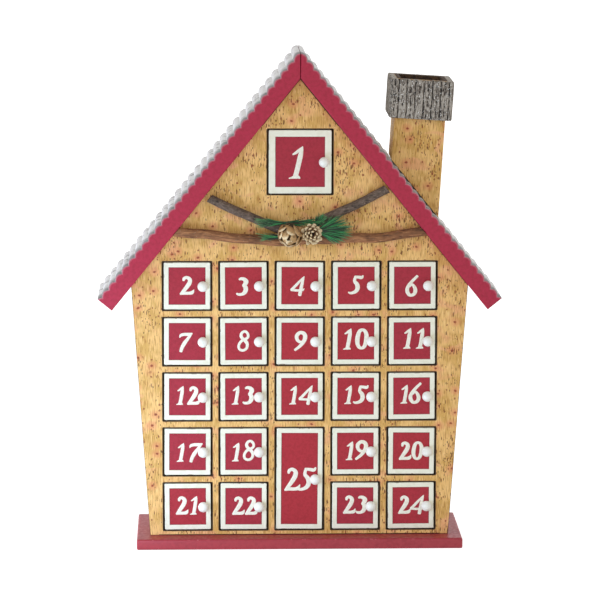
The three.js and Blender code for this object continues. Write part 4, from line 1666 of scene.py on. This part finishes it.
NUMERALS: dict[int, Numeral] = {
    1: Numeral((-4.3,), 15.4, 1.71, 0.84, 0.06),
    2: Numeral((-0.3,), 8.1), 3: Numeral((-1.1,), 9.1), 4: Numeral((-2.2,), 8.9),
    5: Numeral((-0.3,), 8.1), 6: Numeral((-0.4,), 10.0), 7: Numeral((-1.4,), 9.2),
    8: Numeral((-0.2,), 9.7), 9: Numeral((0.5,), 9.0),
    10: Numeral((-7.6, 5.4), 7.9, 1.12), 11: Numeral((-4.3, 7.2), 7.3, 1.1),
    12: Numeral((-6.6, 5.3), 7.4), 13: Numeral((-7.2, 4.2), 7.3), 14: Numeral((-5.9, 5.4), 7.4),
    15: Numeral((-6.8, 4.7), 7.3), 16: Numeral((-6.7, 3.3), 7.0), 17: Numeral((-6.4, 7.3), 9.2),
    18: Numeral((-7.1, 4.7), 9.1), 19: Numeral((-5.3, 5.3), 8.4), 20: Numeral((-5.6, 5.8), 8.6),
    21: Numeral((-5.4, 5.3), 7.7), 22: Numeral((-4.9, 6.7), 8.2), 23: Numeral((-5.4, 5.7), 7.7),
    24: Numeral((-6.0, 5.7), 8.0), 25: Numeral((-6.7, 6.4), 11.6, 1.28, 0.84),
}


@dataclass
class Doors:
    """The 25 doors: a bordered leaf, its number, a ball knob and two hinge pins each."""

    sizes: HouseSizes
    places: list[DoorPlace]
    finishes: Finishes
    thickness: float = 4
    side_gap: float = 1.2
    end_gap: float = 0.8
    corner: float = 0.9
    rounding: float = 0.45
    field_depth: float = 0.4
    knob_radius: float = 4.7
    knob_projection: float = 8
    knob_edge: float = 6.8
    pin_radius: float = 0.7
    pin_reach: float = 3.2
    relief: float = 0.14
    tilt: float = math.radians(0.35)
    samples: int = 34
    stroke_sides: int = 12

    def build(self) -> None:
        """Makes every door."""
        for place in self.places:
            self.build_leaf(place)
            self.build_numeral(place)
            self.build_knob(place)
            self.build_pins(place)

    def placing(self, place: DoorPlace, depth: float = 0) -> Placing:
        """The door's own plane, turned by the small angle that this door hangs at."""
        angle = self.tilt * math.sin(2.4 * place.number + 1)
        across = (math.cos(angle), 0, math.sin(angle))
        upward = (-math.sin(angle), 0, math.cos(angle))
        return Placing((place.x, self.sizes.front + depth, place.z), across, upward)

    def build_leaf(self, place: DoorPlace) -> None:
        """A flat leaf with a sunk field: border white, field red, back bare, sides in the dark cut-edge
        brown, partly as painted shade of the door gaps.
        """
        half = (place.width / 2 - self.side_gap, place.height / 2 - self.end_gap)
        outline = rounded_box((-half[0], -half[1]), half, self.corner)
        inner = place.frame
        slant = 0.12
        pocket = [(inner + slant + at, self.field_depth, 1) for at in (3.0, 1.0, 0.5, 0.02)]
        pocket += [(inner + slant, self.field_depth - 0.03, 0), (inner + 0.04, 0.06, 0)]
        pocket += [(inner, 0.0, 0), (inner - 0.12, 0.0, 0)]
        rows = pocket + edge_rows(self.thickness, self.rounding, (), (0, 0, 2))
        # Sides deeper than the rounding take the dark cut-edge finish, the cut board's colour and partly
        # painted shade of the gaps.
        rows = [(d, s, 3 if s > self.rounding and f == 0 else f) for d, s, f in rows]

        def from_border(points: np.ndarray) -> dict[Mark, np.ndarray]:
            """Distance into the field from the border, and the door's own tone."""
            inset = np.array([row[0] for row in rows])
            value = np.clip(inset - inner - slant, 0, None)
            tone = 0.5 + 0.5 * math.sin(5.1 * place.number)
            return {
                Mark.RISE: np.broadcast_to(value[:, None], points.shape[:-1]),
                Mark.TONE: np.full(points.shape[:-1], tone),
            }

        draft = Draft()
        add_plate(draft, [outline], self.placing(place), rows, from_border)
        f = self.finishes
        finishes = [f.border, f.field, f.door_back, f.cut_edge]
        draft.piece(f"{place.node}_leaf", place.node, Slot.DOOR, finishes, [place.node])

    def build_numeral(self, place: DoorPlace) -> None:
        """The door's number in raised white paint, stroke by stroke."""
        numeral = NUMERALS[place.number]
        placing = self.placing(place, self.field_depth)
        draft = Draft()
        layer = 0
        for digit, offset in zip(str(place.number), numeral.offsets, strict=True):
            height = NUMERAL_HEIGHT[digit] * numeral.scale
            for stroke in STROKES[digit]:
                points = np.array(stroke, float) / 100 * height
                points[:, 2] *= numeral.weight
                points[:, 0] += numeral.slant * points[:, 1]
                points[:, 0] *= NARROWING.get(digit, 1) if place.number > 9 else 1
                points[:, :2] += (offset, -numeral.drop)
                self.add_stroke(draft, points, placing, self.relief - 0.012 * layer)
                layer += 1
        draft.piece(f"{place.node}_number", place.node, Slot.DOOR, [self.finishes.numeral])

    def add_stroke(self, draft: Draft, points: np.ndarray, placing: Placing, relief: float) -> None:
        """A brush stroke: a flat tube whose width follows the points, with half-round ends."""
        path = curve_through(points, self.samples)
        flat, width = path[:, :2], np.maximum(path[:, 2], 0.12)
        along = unit(np.gradient(flat, axis=0))
        turn = np.radians([80, 60, 40, 20])
        reach = 0.55
        start = flat[0] - along[0] * (width[0] * reach * np.sin(turn))[:, None]
        end = flat[-1] + along[-1] * (width[-1] * reach * np.sin(turn[::-1]))[:, None]
        flat = np.vstack([start, flat, end])
        width = np.concatenate([width[0] * np.cos(turn), width, width[-1] * np.cos(turn[::-1])])
        along = np.vstack([np.tile(along[0], (4, 1)), along, np.tile(along[-1], (4, 1))])
        aside = np.stack([-along[:, 1], along[:, 0]], axis=1) * width[:, None]
        centres = placing.put(flat, 0)
        first = placing.put(flat + aside, 0) - centres
        second = placing.put(flat, -relief) - centres
        add_tubes(draft, centres[None], first[None], second[None], self.stroke_sides, squareness=0.55)

    def build_knob(self, place: DoorPlace) -> None:
        """A painted wooden ball on a short neck: a circle's profile turned about its axis."""
        right = place.width / 2 - self.side_gap - self.knob_edge
        placing = self.placing(place)
        seat = placing.put(np.array([[right, 0.0]]), 0)[0]
        centre = self.knob_projection - self.knob_radius
        from_seat = math.acos(-centre / self.knob_radius)
        angle = np.linspace(from_seat, 0.03, 22)
        radius = self.knob_radius * np.sin(angle)
        out = centre + self.knob_radius * np.cos(angle)
        neck_radius = radius[0] * np.array([0.9, 0.98])
        radius = np.concatenate([neck_radius, radius])
        out = np.concatenate([[-0.3, 0.02], np.maximum(out, 0.05)])
        radius[-1] = 0.08
        centres = seat + np.outer(out, [0, -1, 0])
        first = np.outer(radius, [1, 0, 0])
        second = np.outer(radius, [0, 0, 1])
        draft = Draft()
        add_tubes(draft, centres[None], first[None], second[None], 32)
        draft.piece(f"{place.node}_knob", place.node, Slot.DOOR, [self.finishes.knob])

    def build_pins(self, place: DoorPlace) -> None:
        """Two steel pins on the hinge axis, one up and one down."""
        x = place.x - place.width / 2 + self.side_gap + self.thickness / 2
        y = self.sizes.front + self.thickness / 2
        half = place.height / 2 - self.end_gap
        ends = np.array([[half - 1.2, half + self.pin_reach], [-half - self.pin_reach, 1.2 - half]])
        bevel = 0.15
        height = np.stack([ends[:, 0], ends[:, 0] + bevel, ends[:, 1] - bevel, ends[:, 1]], axis=1)
        size = self.pin_radius * np.array([0.75, 1, 1, 0.75])
        flat = np.broadcast_to([x, y], (2, 4, 2))
        centres = np.dstack([flat, place.z + height])
        first, second = (
            np.broadcast_to(np.outer(size, way), (2, 4, 3)) for way in ([1, 0, 0], [0, 1, 0])
        )
        draft = Draft()
        add_tubes(draft, centres, first, second, 12)
        draft.piece(f"{place.node}_pins", place.node, Slot.DOOR, [self.finishes.steel], crease=35)


# The garland


@dataclass
class Twigs:
    """Three bark-covered twigs across the gable, cut to the roof boards at their ends."""

    sizes: HouseSizes
    finishes: Finishes
    upper_radius: float = 4.2
    lower_drop: float = 10.4
    lower_rise: float = 8
    root_x: float = 17
    sag: float = 0.8
    rings: int = 260
    sides: int = 28
    end_rounds: int = 12

    def build(self) -> None:
        """Makes the twigs; an upper one has a slope, a height over the lower one and a gap."""
        self.build_lower()
        self.build_upper(Side.LEFT, math.radians(24.4), 0.5, 4.5)
        self.build_upper(Side.RIGHT, math.radians(25.5), 8.5, 2.1)

    def limit(self, z: np.ndarray, gap: float) -> np.ndarray:
        """How far from the middle a twig reaches at a height, up to a gap under the roof board."""
        return (self.sizes.underside(0, gap) - z) / math.tan(self.sizes.slope)

    def ends(
        self, first: float, line: Callable[[np.ndarray], np.ndarray], dz: np.ndarray, gap: float
    ) -> np.ndarray:
        """X at which each line along a twig meets the roof board, found by repetition.

        Args:
            first: Where to begin.
            line: Gives the height of the twig's middle over X.
            dz: Height of each line off the middle.
            gap: Distance to keep from the roof board.

        Returns:
            X of each line's end.
        """
        x = np.full(dz.shape[1], first)
        for _ in range(self.end_rounds):
            x = self.limit(line(x) + dz.mean(axis=0), gap)
        return x

    def bark(self, along: np.ndarray, angle: np.ndarray, seed: int) -> np.ndarray:
        """Uneven radius, from about -1 to 1: long streaks, knots and a slow swell."""
        u, v = np.meshgrid(along, angle, indexing="ij")
        ring = [2.2 * np.cos(v), 2.2 * np.sin(v)]
        streaks = value_noise(np.stack([u / 9, ring[0] * 1.5, ring[1] * 1.5], axis=-1), seed)
        fine = value_noise(np.stack([u / 2.2, ring[0] * 3, ring[1] * 3], axis=-1), seed + 1)
        swell = value_noise(np.stack([u / 14, 0 * u, 0 * u], axis=-1), seed + 2)
        return 0.5 * streaks + 0.3 * fine + 0.35 * swell

    def add_twig(
        self,
        name: str,
        reach: Callable[[np.ndarray, np.ndarray], tuple[np.ndarray, np.ndarray]],
        radius: float,
        seed: int,
        node: str,
        bark: Material,
        climb: float = 0,
    ) -> None:
        """A twig as a grid of lines along it, each ended on the roof board's plane.

        Args:
            name: Name of the piece.
            reach: Gives X and Z of a line from shares along it and its height off the middle.
            radius: Its radius.
            seed: Chooses its unevenness.
            node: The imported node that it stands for.
            bark: Its material.
            climb: Angle of its slope, which its upright sections allow for.
        """
        share = np.linspace(0, 1, self.rings)
        angle = np.arange(self.sides) / self.sides * 2 * np.pi
        rough = self.bark(share * 220, angle, seed)
        size = radius * (0.945 + 0.055 * np.clip(rough, -1, 1))
        layer = self.sizes.front - self.sizes.glue_gap - radius
        dy, dz = -size * np.cos(angle), size * np.sin(angle) / math.cos(climb)
        x, z = reach(share[:, None], dz)
        skin = np.stack([x, layer + dy, z + dz], axis=-1)
        draft = Draft()
        start = draft.add_points(skin, {Mark.TONE: 0.55 + 0.5 * rough})
        ends = draft.add_points(skin[[0, -1]].mean(axis=1), {Mark.TONE: np.array([0.9, 0.9])})
        ring = start + np.arange(self.sides)
        quads = grid_faces(self.rings, self.sides) + start
        low = fan_faces(ring[None], np.array([ends]))
        high = fan_faces(ring[None] + (self.rings - 1) * self.sides, np.array([ends + 1]))
        rightward = x[-1].mean() > x[0].mean()
        for faces in (quads, low[:, ::-1], high):
            draft.add_faces(faces[:, ::-1] if rightward else faces)
        draft.piece(name, HOUSE, Slot.TWIG, [bark], [node], 70)

    def build_lower(self) -> None:
        """The long lower twig, which rises to both ends by the square of the distance."""
        middle = self.sizes.garland - self.lower_drop
        end = middle + self.lower_rise
        span = (self.sizes.apex - end) / math.tan(self.sizes.slope)

        def line(x: np.ndarray) -> np.ndarray:
            """Height of the twig's middle."""
            return middle + self.lower_rise * (x / span) ** 2

        def reach(share: np.ndarray, dz: np.ndarray) -> tuple[np.ndarray, np.ndarray]:
            """X from one roof board to the other, and Z on the sagging line."""
            x = (2 * share - 1) * self.ends(span, line, dz, self.sizes.seat_gap)
            wave = 0.8 * np.sin(x / 17) + 0.5 * np.sin(x / 7 + 1)
            return x, line(x) + wave * (1 - (x / span) ** 8)

        radius = self.sizes.twig_radius
        self.add_twig("twig_lower", reach, radius, 21, "lower_twig", self.finishes.lower_bark)

    def build_upper(self, side: Side, climb: float, over: float, gap: float) -> None:
        """A short upper twig from behind the cones, cut short of a roof board."""
        s = self.sizes
        root = s.garland - self.lower_drop + s.twig_radius + over + self.upper_radius
        steep = math.tan(s.slope) + math.tan(climb)
        tip_x = (s.apex - root + math.tan(climb) * self.root_x) / steep

        def line(x: np.ndarray) -> np.ndarray:
            """Height of the twig's middle."""
            return root + (x - self.root_x) * math.tan(climb)

        def reach(share: np.ndarray, dz: np.ndarray) -> tuple[np.ndarray, np.ndarray]:
            """X from the root to the roof board, and Z on the nearly straight line."""
            run = share * (self.ends(tip_x, line, dz, gap) - self.root_x)
            part = run / (tip_x - self.root_x)
            wave = 0.3 * np.sin(run / 9 + side.value) - self.sag
            z = root + run * math.tan(climb) + wave * np.sin(np.pi * part)
            return side.value * (self.root_x + run), z

        name = side.name.lower()
        node, bark = f"upper_twig_{name}", self.finishes.upper_bark
        seed = 41 + side.value
        self.add_twig(f"twig_upper_{name}", reach, self.upper_radius, seed, node, bark, climb)


@dataclass(frozen=True)
class Tuft:
    """A fan of needles from one root.

    Attributes:
        root: X outwards from the middle and height over the garland's middle.
        low: Lowest angle of the fan in degrees, from the level.
        high: Highest angle.
        length: Length of the longest needle.
        count: How many needles there are.
    """

    root: tuple[float, float]
    low: float
    high: float
    length: float
    count: int


@dataclass
class Sprigs:
    """Two sprigs of pine behind the cones: short stems and fans of fine curved needles."""

    sizes: HouseSizes
    finishes: Finishes
    needle_radius: float = 0.45
    rings: int = 9
    needle_sides: int = 5
    left: tuple[Tuft, ...] = (
        Tuft((12.5, 6.4), -5, 8, 31, 72),
        Tuft((11.2, -6.2), -4, 4, 30, 44),
        Tuft((16, 6.2), 174, 186, 26, 50),
    )
    right: tuple[Tuft, ...] = (
        Tuft((15.5, -1), -32, 40, 33, 130),
        Tuft((-1, 7), -6, 10, 22, 30),
        Tuft((14, 3), 28, 78, 15, 60),
    )
    left_stems: tuple[tuple[float, float, float, float], ...] = (
        (-3, 5.5, 13, 5.5), (7, 6, 12.5, -12.3),
    )
    right_stems: tuple[tuple[float, float, float, float], ...] = (
        (4, -3, 17, -1.5), (12.5, -2.2, 10.5, -12.6),
    )

    def build(self) -> None:
        """Makes both sprigs."""
        self.build_sprig(Side.LEFT, self.left, self.left_stems, 3)
        self.build_sprig(Side.RIGHT, self.right, self.right_stems, 8)

    def build_sprig(
        self,
        side: Side,
        tufts: Sequence[Tuft],
        stems: Sequence[tuple[float, float, float, float]],
        seed: int,
    ) -> None:
        """One sprig: its stems, then its fans of needles."""
        chance = np.random.default_rng(seed)
        draft = Draft()
        for x0, z0, x1, z1 in stems:
            share = np.linspace(0, 1, 12)[:, None]
            path = np.array([x0, z0]) + share * np.array([x1 - x0, z1 - z0])
            centres = self.in_space(side, path)
            along = unit(centres[-1] - centres[0])
            up = np.cross(along, [0, 1, 0])
            radius = self.sizes.stem_radius * (0.9 + 0.08 * np.sin(7 * share))
            radius[[0, -1]] *= 0.6
            first, second = radius * up, radius * np.cross(along, up)
            marks = {Mark.TONE: np.full((1, len(share)), 0.55)}
            add_tubes(draft, centres[None], first[None], second[None], 12, marks=marks, finish=1)
        for tuft in tufts:
            self.add_tuft(draft, side, tuft, chance)
        name = side.name.lower()
        finishes = [self.finishes.needles, self.finishes.stem]
        draft.piece(f"pine_needles_{name}", HOUSE, Slot.NEEDLES, finishes, [f"pine_sprig_{name}"], 80)

    def in_space(self, side: Side, path: np.ndarray, layer: np.ndarray | float = 0) -> np.ndarray:
        """Points from X outwards, height over the garland and distance in front of its layer."""
        x, z = path[..., 0] * side.value, path[..., 1] + self.sizes.garland
        return np.stack([x, np.broadcast_to(self.sizes.sprig_layer - layer, x.shape), z], axis=-1)

    def add_tuft(self, draft: Draft, side: Side, tuft: Tuft, chance: np.random.Generator) -> None:
        """A fan of needles: each bends by the square of its share and tapers to its tip."""
        count = tuft.count
        share = (np.arange(count) + chance.uniform(0.1, 0.9, count)) / count
        angle = np.radians(tuft.low + (tuft.high - tuft.low) * share)
        fullness = 0.62 + 0.38 * np.sin(np.pi * share)
        length = tuft.length * fullness * chance.uniform(0.78, 1.0, count)
        bend = np.radians(chance.uniform(-9, 9, count))
        lift = chance.uniform(-0.5, 2.6, count)
        start = np.array(tuft.root) + chance.uniform(-2.2, 1.2, (count, 2)) * [1, 0.5]
        t = np.linspace(0, 1, self.rings)
        heading = angle[:, None] + bend[:, None] * t
        reach = length[:, None] * t
        path = start[:, None] + reach[..., None] * np.stack([np.cos(heading), np.sin(heading)], -1)
        centres = self.in_space(side, path, lift[:, None] * t**1.5)
        along = unit(np.gradient(centres, axis=1))
        aside = unit(np.cross(along, [0.0, 1.0, 0.0]))
        taper = self.needle_radius * np.sqrt(np.clip(1 - t**2.2, 0.02, 1)) * np.minimum(1, 0.55 + 3 * t)
        thick = chance.uniform(0.8, 1.1, count)[:, None] * taper
        first = aside * thick[..., None]
        second = np.cross(along, aside) * thick[..., None] * 0.7
        tone = chance.uniform(0, 1, count)[:, None]
        shape = (count, self.rings)
        marks = {Mark.ALONG: np.broadcast_to(t, shape), Mark.TONE: np.broadcast_to(tone, shape)}
        add_tubes(draft, centres, first, second, self.needle_sides, marks=marks)


@dataclass
class Pinecone:
    """A small cone: woody scales on a spiral round a core.

    Attributes:
        name: Name of the piece.
        node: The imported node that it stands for.
        x: Its centre from left to right.
        z: Its height.
        radius: Its radius across.
        axis: Where its tip points.
        count: How many scales it has.
        width: Width of a scale as a share of the radius.
        spread: Angle of its outermost scales from the axis, in degrees.
        woody: Thickness of a scale as a share of the radius.
        closed: Whether its scales lie on each other like tiles, towards its tip.
        seed: Chooses its unevenness.
        finish: Its material.
        back: Y of its flat back.
    """

    name: str
    node: str
    x: float
    z: float
    radius: float
    axis: Triple
    count: int
    width: float
    spread: float
    woody: float
    closed: bool
    seed: int
    finish: Material
    back: float
    depth: float = 12.5
    first_polar: float = 12
    rings: int = 9
    sides: int = 10

    def build(self) -> None:
        """Makes the cone: scale k stands at k times the golden angle round the axis.

        Its polar angle grows with the root of its share, so the scales cover the dome evenly. A
        closed scale bows over the dome round the seat, and an open one stands off the core.
        """
        chance = np.random.default_rng(self.seed)
        axis = unit(np.array(self.axis, float))
        e1 = unit(np.cross(axis, [0.0, 0.0, 1.0]))
        e2 = np.cross(axis, e1)
        k = np.arange(self.count)
        share = (k + 0.5) / self.count
        turn = k * GOLDEN_ANGLE + chance.uniform(-0.08, 0.08, self.count)
        polar = np.radians(self.first_polar + (self.spread - self.first_polar) * share**0.62)
        ring = np.cos(turn)[:, None] * e1 + np.sin(turn)[:, None] * e2
        seat = np.array([self.x, self.back - self.depth * (0.5 if self.closed else 0.35), self.z])
        length = self.radius * (0.44 + 0.46 * share**0.7) * chance.uniform(0.86, 1.06, self.count)

        v = np.linspace(0, 1, self.rings)
        if self.closed:
            bow = polar[:, None] + np.radians(34 - 66 * v)
            along = np.sin(bow)[..., None] * ring[:, None] + np.cos(bow)[..., None] * axis
            reach = self.radius * (0.72 + 0.06 * share[:, None] + 0.22 * v**2)
            centres = seat + along * reach[..., None]
        else:
            sideways = np.sin(polar)[:, None] * ring
            forward = np.cos(polar)[:, None] * axis
            root = seat + self.depth * 0.55 * forward + 0.22 * self.radius * sideways
            outward = sideways + forward
            curl = unit(outward + 0.9 * axis)
            bend = 0.28 * v[:, None] ** 2
            direction = outward[:, None] * (1 - bend) + curl[:, None] * bend
            centres = root[:, None] + direction * (length[:, None] * v)[..., None]
        tangent = unit(np.gradient(centres, axis=1))
        aside = np.broadcast_to(unit(np.cross(ring, axis))[:, None], tangent.shape)
        normal = np.cross(tangent, aside)
        half = self.radius * self.width * (0.55 + 0.45 * share)[:, None]
        profile = np.sin(np.pi * np.clip(0.12 + 0.8 * v, 0, 1)) ** 0.7
        thickness = self.radius * self.woody * (0.8 + 0.9 * np.exp(-(((v - 0.86) / 0.14) ** 2)))
        thickness[-1] *= 0.35
        first = aside * (half * profile)[..., None]
        second = normal * (thickness * np.ones((self.count, 1)))[..., None]
        shape = (self.count, self.rings)
        tone = chance.uniform(0, 1, self.count)[:, None]
        marks = {Mark.ALONG: np.broadcast_to(v, shape), Mark.TONE: np.broadcast_to(tone, shape)}
        draft = Draft()
        add_tubes(draft, centres, first, second, self.sides, squareness=0.8, marks=marks)
        self.add_core(draft, axis, e1, e2, seat)
        self.flatten_back(draft)
        draft.piece(self.name, HOUSE, Slot.CONE, [self.finish], [self.node], 60)

    def add_core(
        self, draft: Draft, axis: np.ndarray, e1: np.ndarray, e2: np.ndarray, seat: np.ndarray
    ) -> None:
        """The core: half an ellipse turned about the axis, dark on the open cone as painted shade deep
        among its scales.
        """
        angle = np.linspace(-0.45 * np.pi, 0.48 * np.pi, 14)
        centres = seat + np.outer(np.sin(angle) * self.depth * 0.5, axis)
        size = np.cos(angle)[:, None] * self.radius * (0.62 if self.closed else 0.5)
        # On the open cone the core takes the dark root colour as painted shade; the closed cone's core
        # is mid brown.
        along = np.full((1, len(angle)), 0.42 if self.closed else 0)
        marks = {Mark.ALONG: along, Mark.TONE: np.zeros((1, len(angle)))}
        add_tubes(draft, centres[None], (size * e1)[None], (size * e2)[None], 16, marks=marks)

    def flatten_back(self, draft: Draft) -> None:
        """Presses what would reach behind the cone's back onto its flat back."""
        for points in draft.points:
            points[:, 1] = np.minimum(points[:, 1], self.back)


# The stage


@dataclass(frozen=True)
class Lamp:
    """A square soft lamp that looks at a point; sizes in millimetres, power in watts."""

    name: str
    place: Triple
    target: Triple
    size: float
    power: float
    colour: Colour

    def build(self) -> None:
        """Makes the lamp."""
        data = bpy.data.lights.new(self.name, "AREA")
        data.shape = "SQUARE"
        data.size = self.size * MM
        data.energy = self.power
        data.color = linear(self.colour)[:3]
        lamp = new_object(self.name, data)
        lamp.location = Vector(self.place) * MM
        look = Vector(self.target) - Vector(self.place)
        lamp.rotation_euler = look.to_track_quat("-Z", "Y").to_euler()


@dataclass
class Stage:
    """A white floor, soft studio light and the camera at the photograph's viewing angle.

    Attributes:
        focal: Focal length in picture widths.
        yaw: Turn of the camera to the right, in radians.
        pitch: Its tilt down.
        roll: Its roll.
        distance: Distance from the point that it looks at, in millimetres.
        aim: That point.
    """

    focal: float = 3200 / 600
    yaw: float = 0.034
    pitch: float = 0.163
    roll: float = 0.0023
    distance: float = 2901.9
    aim: Triple = (1.288, 0, 219.43)
    sensor: float = 36
    floor_half: float = 14000
    backdrop: float = 0.74
    world: float = 1.12
    zenith: float = 0.5
    lamps: tuple[Lamp, ...] = (
        Lamp("window_lamp", (-330, -330, 40), (-130, -30, 100), 200, 1.55, (196, 222, 255)),
        Lamp("side_lamp", (-620, -60, 190), (-90, 10, 260), 300, 1.1, (224, 234, 255)),
    )

    def build(self) -> None:
        """Makes the floor, the light and the camera."""
        self.build_floor()
        self.build_world()
        for lamp in self.lamps:
            lamp.build()
        self.build_camera()
        bpy.context.scene.view_settings.view_transform = "Standard"

    def build_floor(self) -> None:
        """A pale floor whose unshaded parts look white to the camera."""
        half = self.floor_half
        corners = np.array([[-half, -half, 0], [half, -half, 0], [half, half, 0], [-half, half, 0]])
        mesh = bpy.data.meshes.new("floor")
        mesh.from_pydata((corners * MM).tolist(), [], [(0, 1, 2, 3)])
        floor = new_object("floor", mesh)
        g = Graph("floor_white")
        g.feed(g.shader.inputs["Base Color"], (232, 232, 232))
        g.feed(g.shader.inputs["Roughness"], 0.9)
        seen = self.seen(g)
        glow = g.add("Emission", {"Color": (255, 255, 255), "Strength": self.backdrop})
        none = g.add("Emission", {"Color": (255, 255, 255), "Strength": 0.0})
        light = g.add("MixShader", {0: seen, 1: none.outputs[0], 2: glow.outputs[0]})
        whole = g.add("AddShader", {0: g.shader.outputs[0], 1: light.outputs[0]})
        output = g.nodes["Material Output"]
        g.feed(output.inputs["Surface"], whole.outputs[0])
        mesh.materials.append(g.material)

    @staticmethod
    def seen(graph: Graph) -> Socket:
        """1 for rays that show the surface: from the camera, in gloss and through glass."""
        path = graph.add("LightPath")
        total = graph.figure("MAXIMUM", path.outputs["Is Camera Ray"], path.outputs["Is Glossy Ray"])
        return graph.figure("MAXIMUM", total, path.outputs["Is Transmission Ray"])

    def build_world(self) -> None:
        """White surroundings: fill light, dimmer from above, and white to the camera."""
        world = bpy.data.worlds.new("studio")
        bpy.context.scene.world = world
        g = Graph(world.name, world)
        path = g.add("LightPath").outputs
        seen = g.figure("MAXIMUM", path["Is Camera Ray"], path["Is Transmission Ray"])
        height = g.add("SeparateXYZ", {0: g.add("TexCoord").outputs["Generated"]}).outputs["Z"]
        fill = g.add("MapRange", {"Value": height, "To Min": self.world, "To Max": self.zenith})
        strength = g.add("MapRange", {"Value": seen, "To Min": fill.outputs[0], "To Max": 1.0})
        g.feed(g.shader.inputs["Color"], (255, 255, 255))
        g.feed(g.shader.inputs["Strength"], strength.outputs[0])

    def build_camera(self) -> None:
        """The camera: it stands back from its aim along its own line of sight."""
        (cos_y, sin_y), (cos_p, sin_p), (cos_r, sin_r) = (
            (math.cos(angle), math.sin(angle)) for angle in (self.yaw, self.pitch, self.roll)
        )
        forward = Vector((sin_y * cos_p, cos_y * cos_p, -sin_p))
        level = Vector((cos_y, -sin_y, 0))
        upright = level.cross(forward)
        right = level * cos_r + upright * sin_r
        up = upright * cos_r - level * sin_r
        data = bpy.data.cameras.new("camera")
        data.sensor_width = self.sensor
        data.lens = self.focal * self.sensor
        data.clip_end = 100
        camera = new_object("camera", data)
        place = (Vector(self.aim) - forward * self.distance) * MM
        turn = Matrix((right, up, -forward)).transposed().to_4x4()
        camera.matrix_world = Matrix.Translation(place) @ turn
        bpy.context.scene.camera = camera


def main() -> None:
    """Builds and dresses the calendar, then sets the stage."""
    logging.basicConfig(level=logging.INFO, format="%(message)s")
    sizes = HouseSizes()
    places = door_places(sizes)
    finishes = Finishes()
    Shell(sizes, places, finishes).build()
    Roof(sizes, finishes).build()
    Chimney(sizes, finishes).build()
    Doors(sizes, places, finishes).build()
    Twigs(sizes, finishes).build()
    Sprigs(sizes, finishes).build()
    low, back = sizes.garland, sizes.cone_back
    Pinecone(
        name="cone_left", node="pinecone_left", x=-9.2, z=low - 3.6, radius=11,
        axis=(-0.4, -0.8, -0.45), count=15, width=0.66, spread=108, woody=0.035,
        closed=True, seed=4, finish=finishes.broad_cone, back=back,
    ).build()
    Pinecone(
        name="cone_right", node="pinecone_right", x=9.8, z=low - 3, radius=10.3,
        axis=(0.1, -1, 0.05), count=30, width=0.26, spread=92, woody=0.042,
        closed=False, seed=9, finish=finishes.close_cone, back=back,
    ).build()
    Stage().build()


if __name__ == "__main__":
    main()
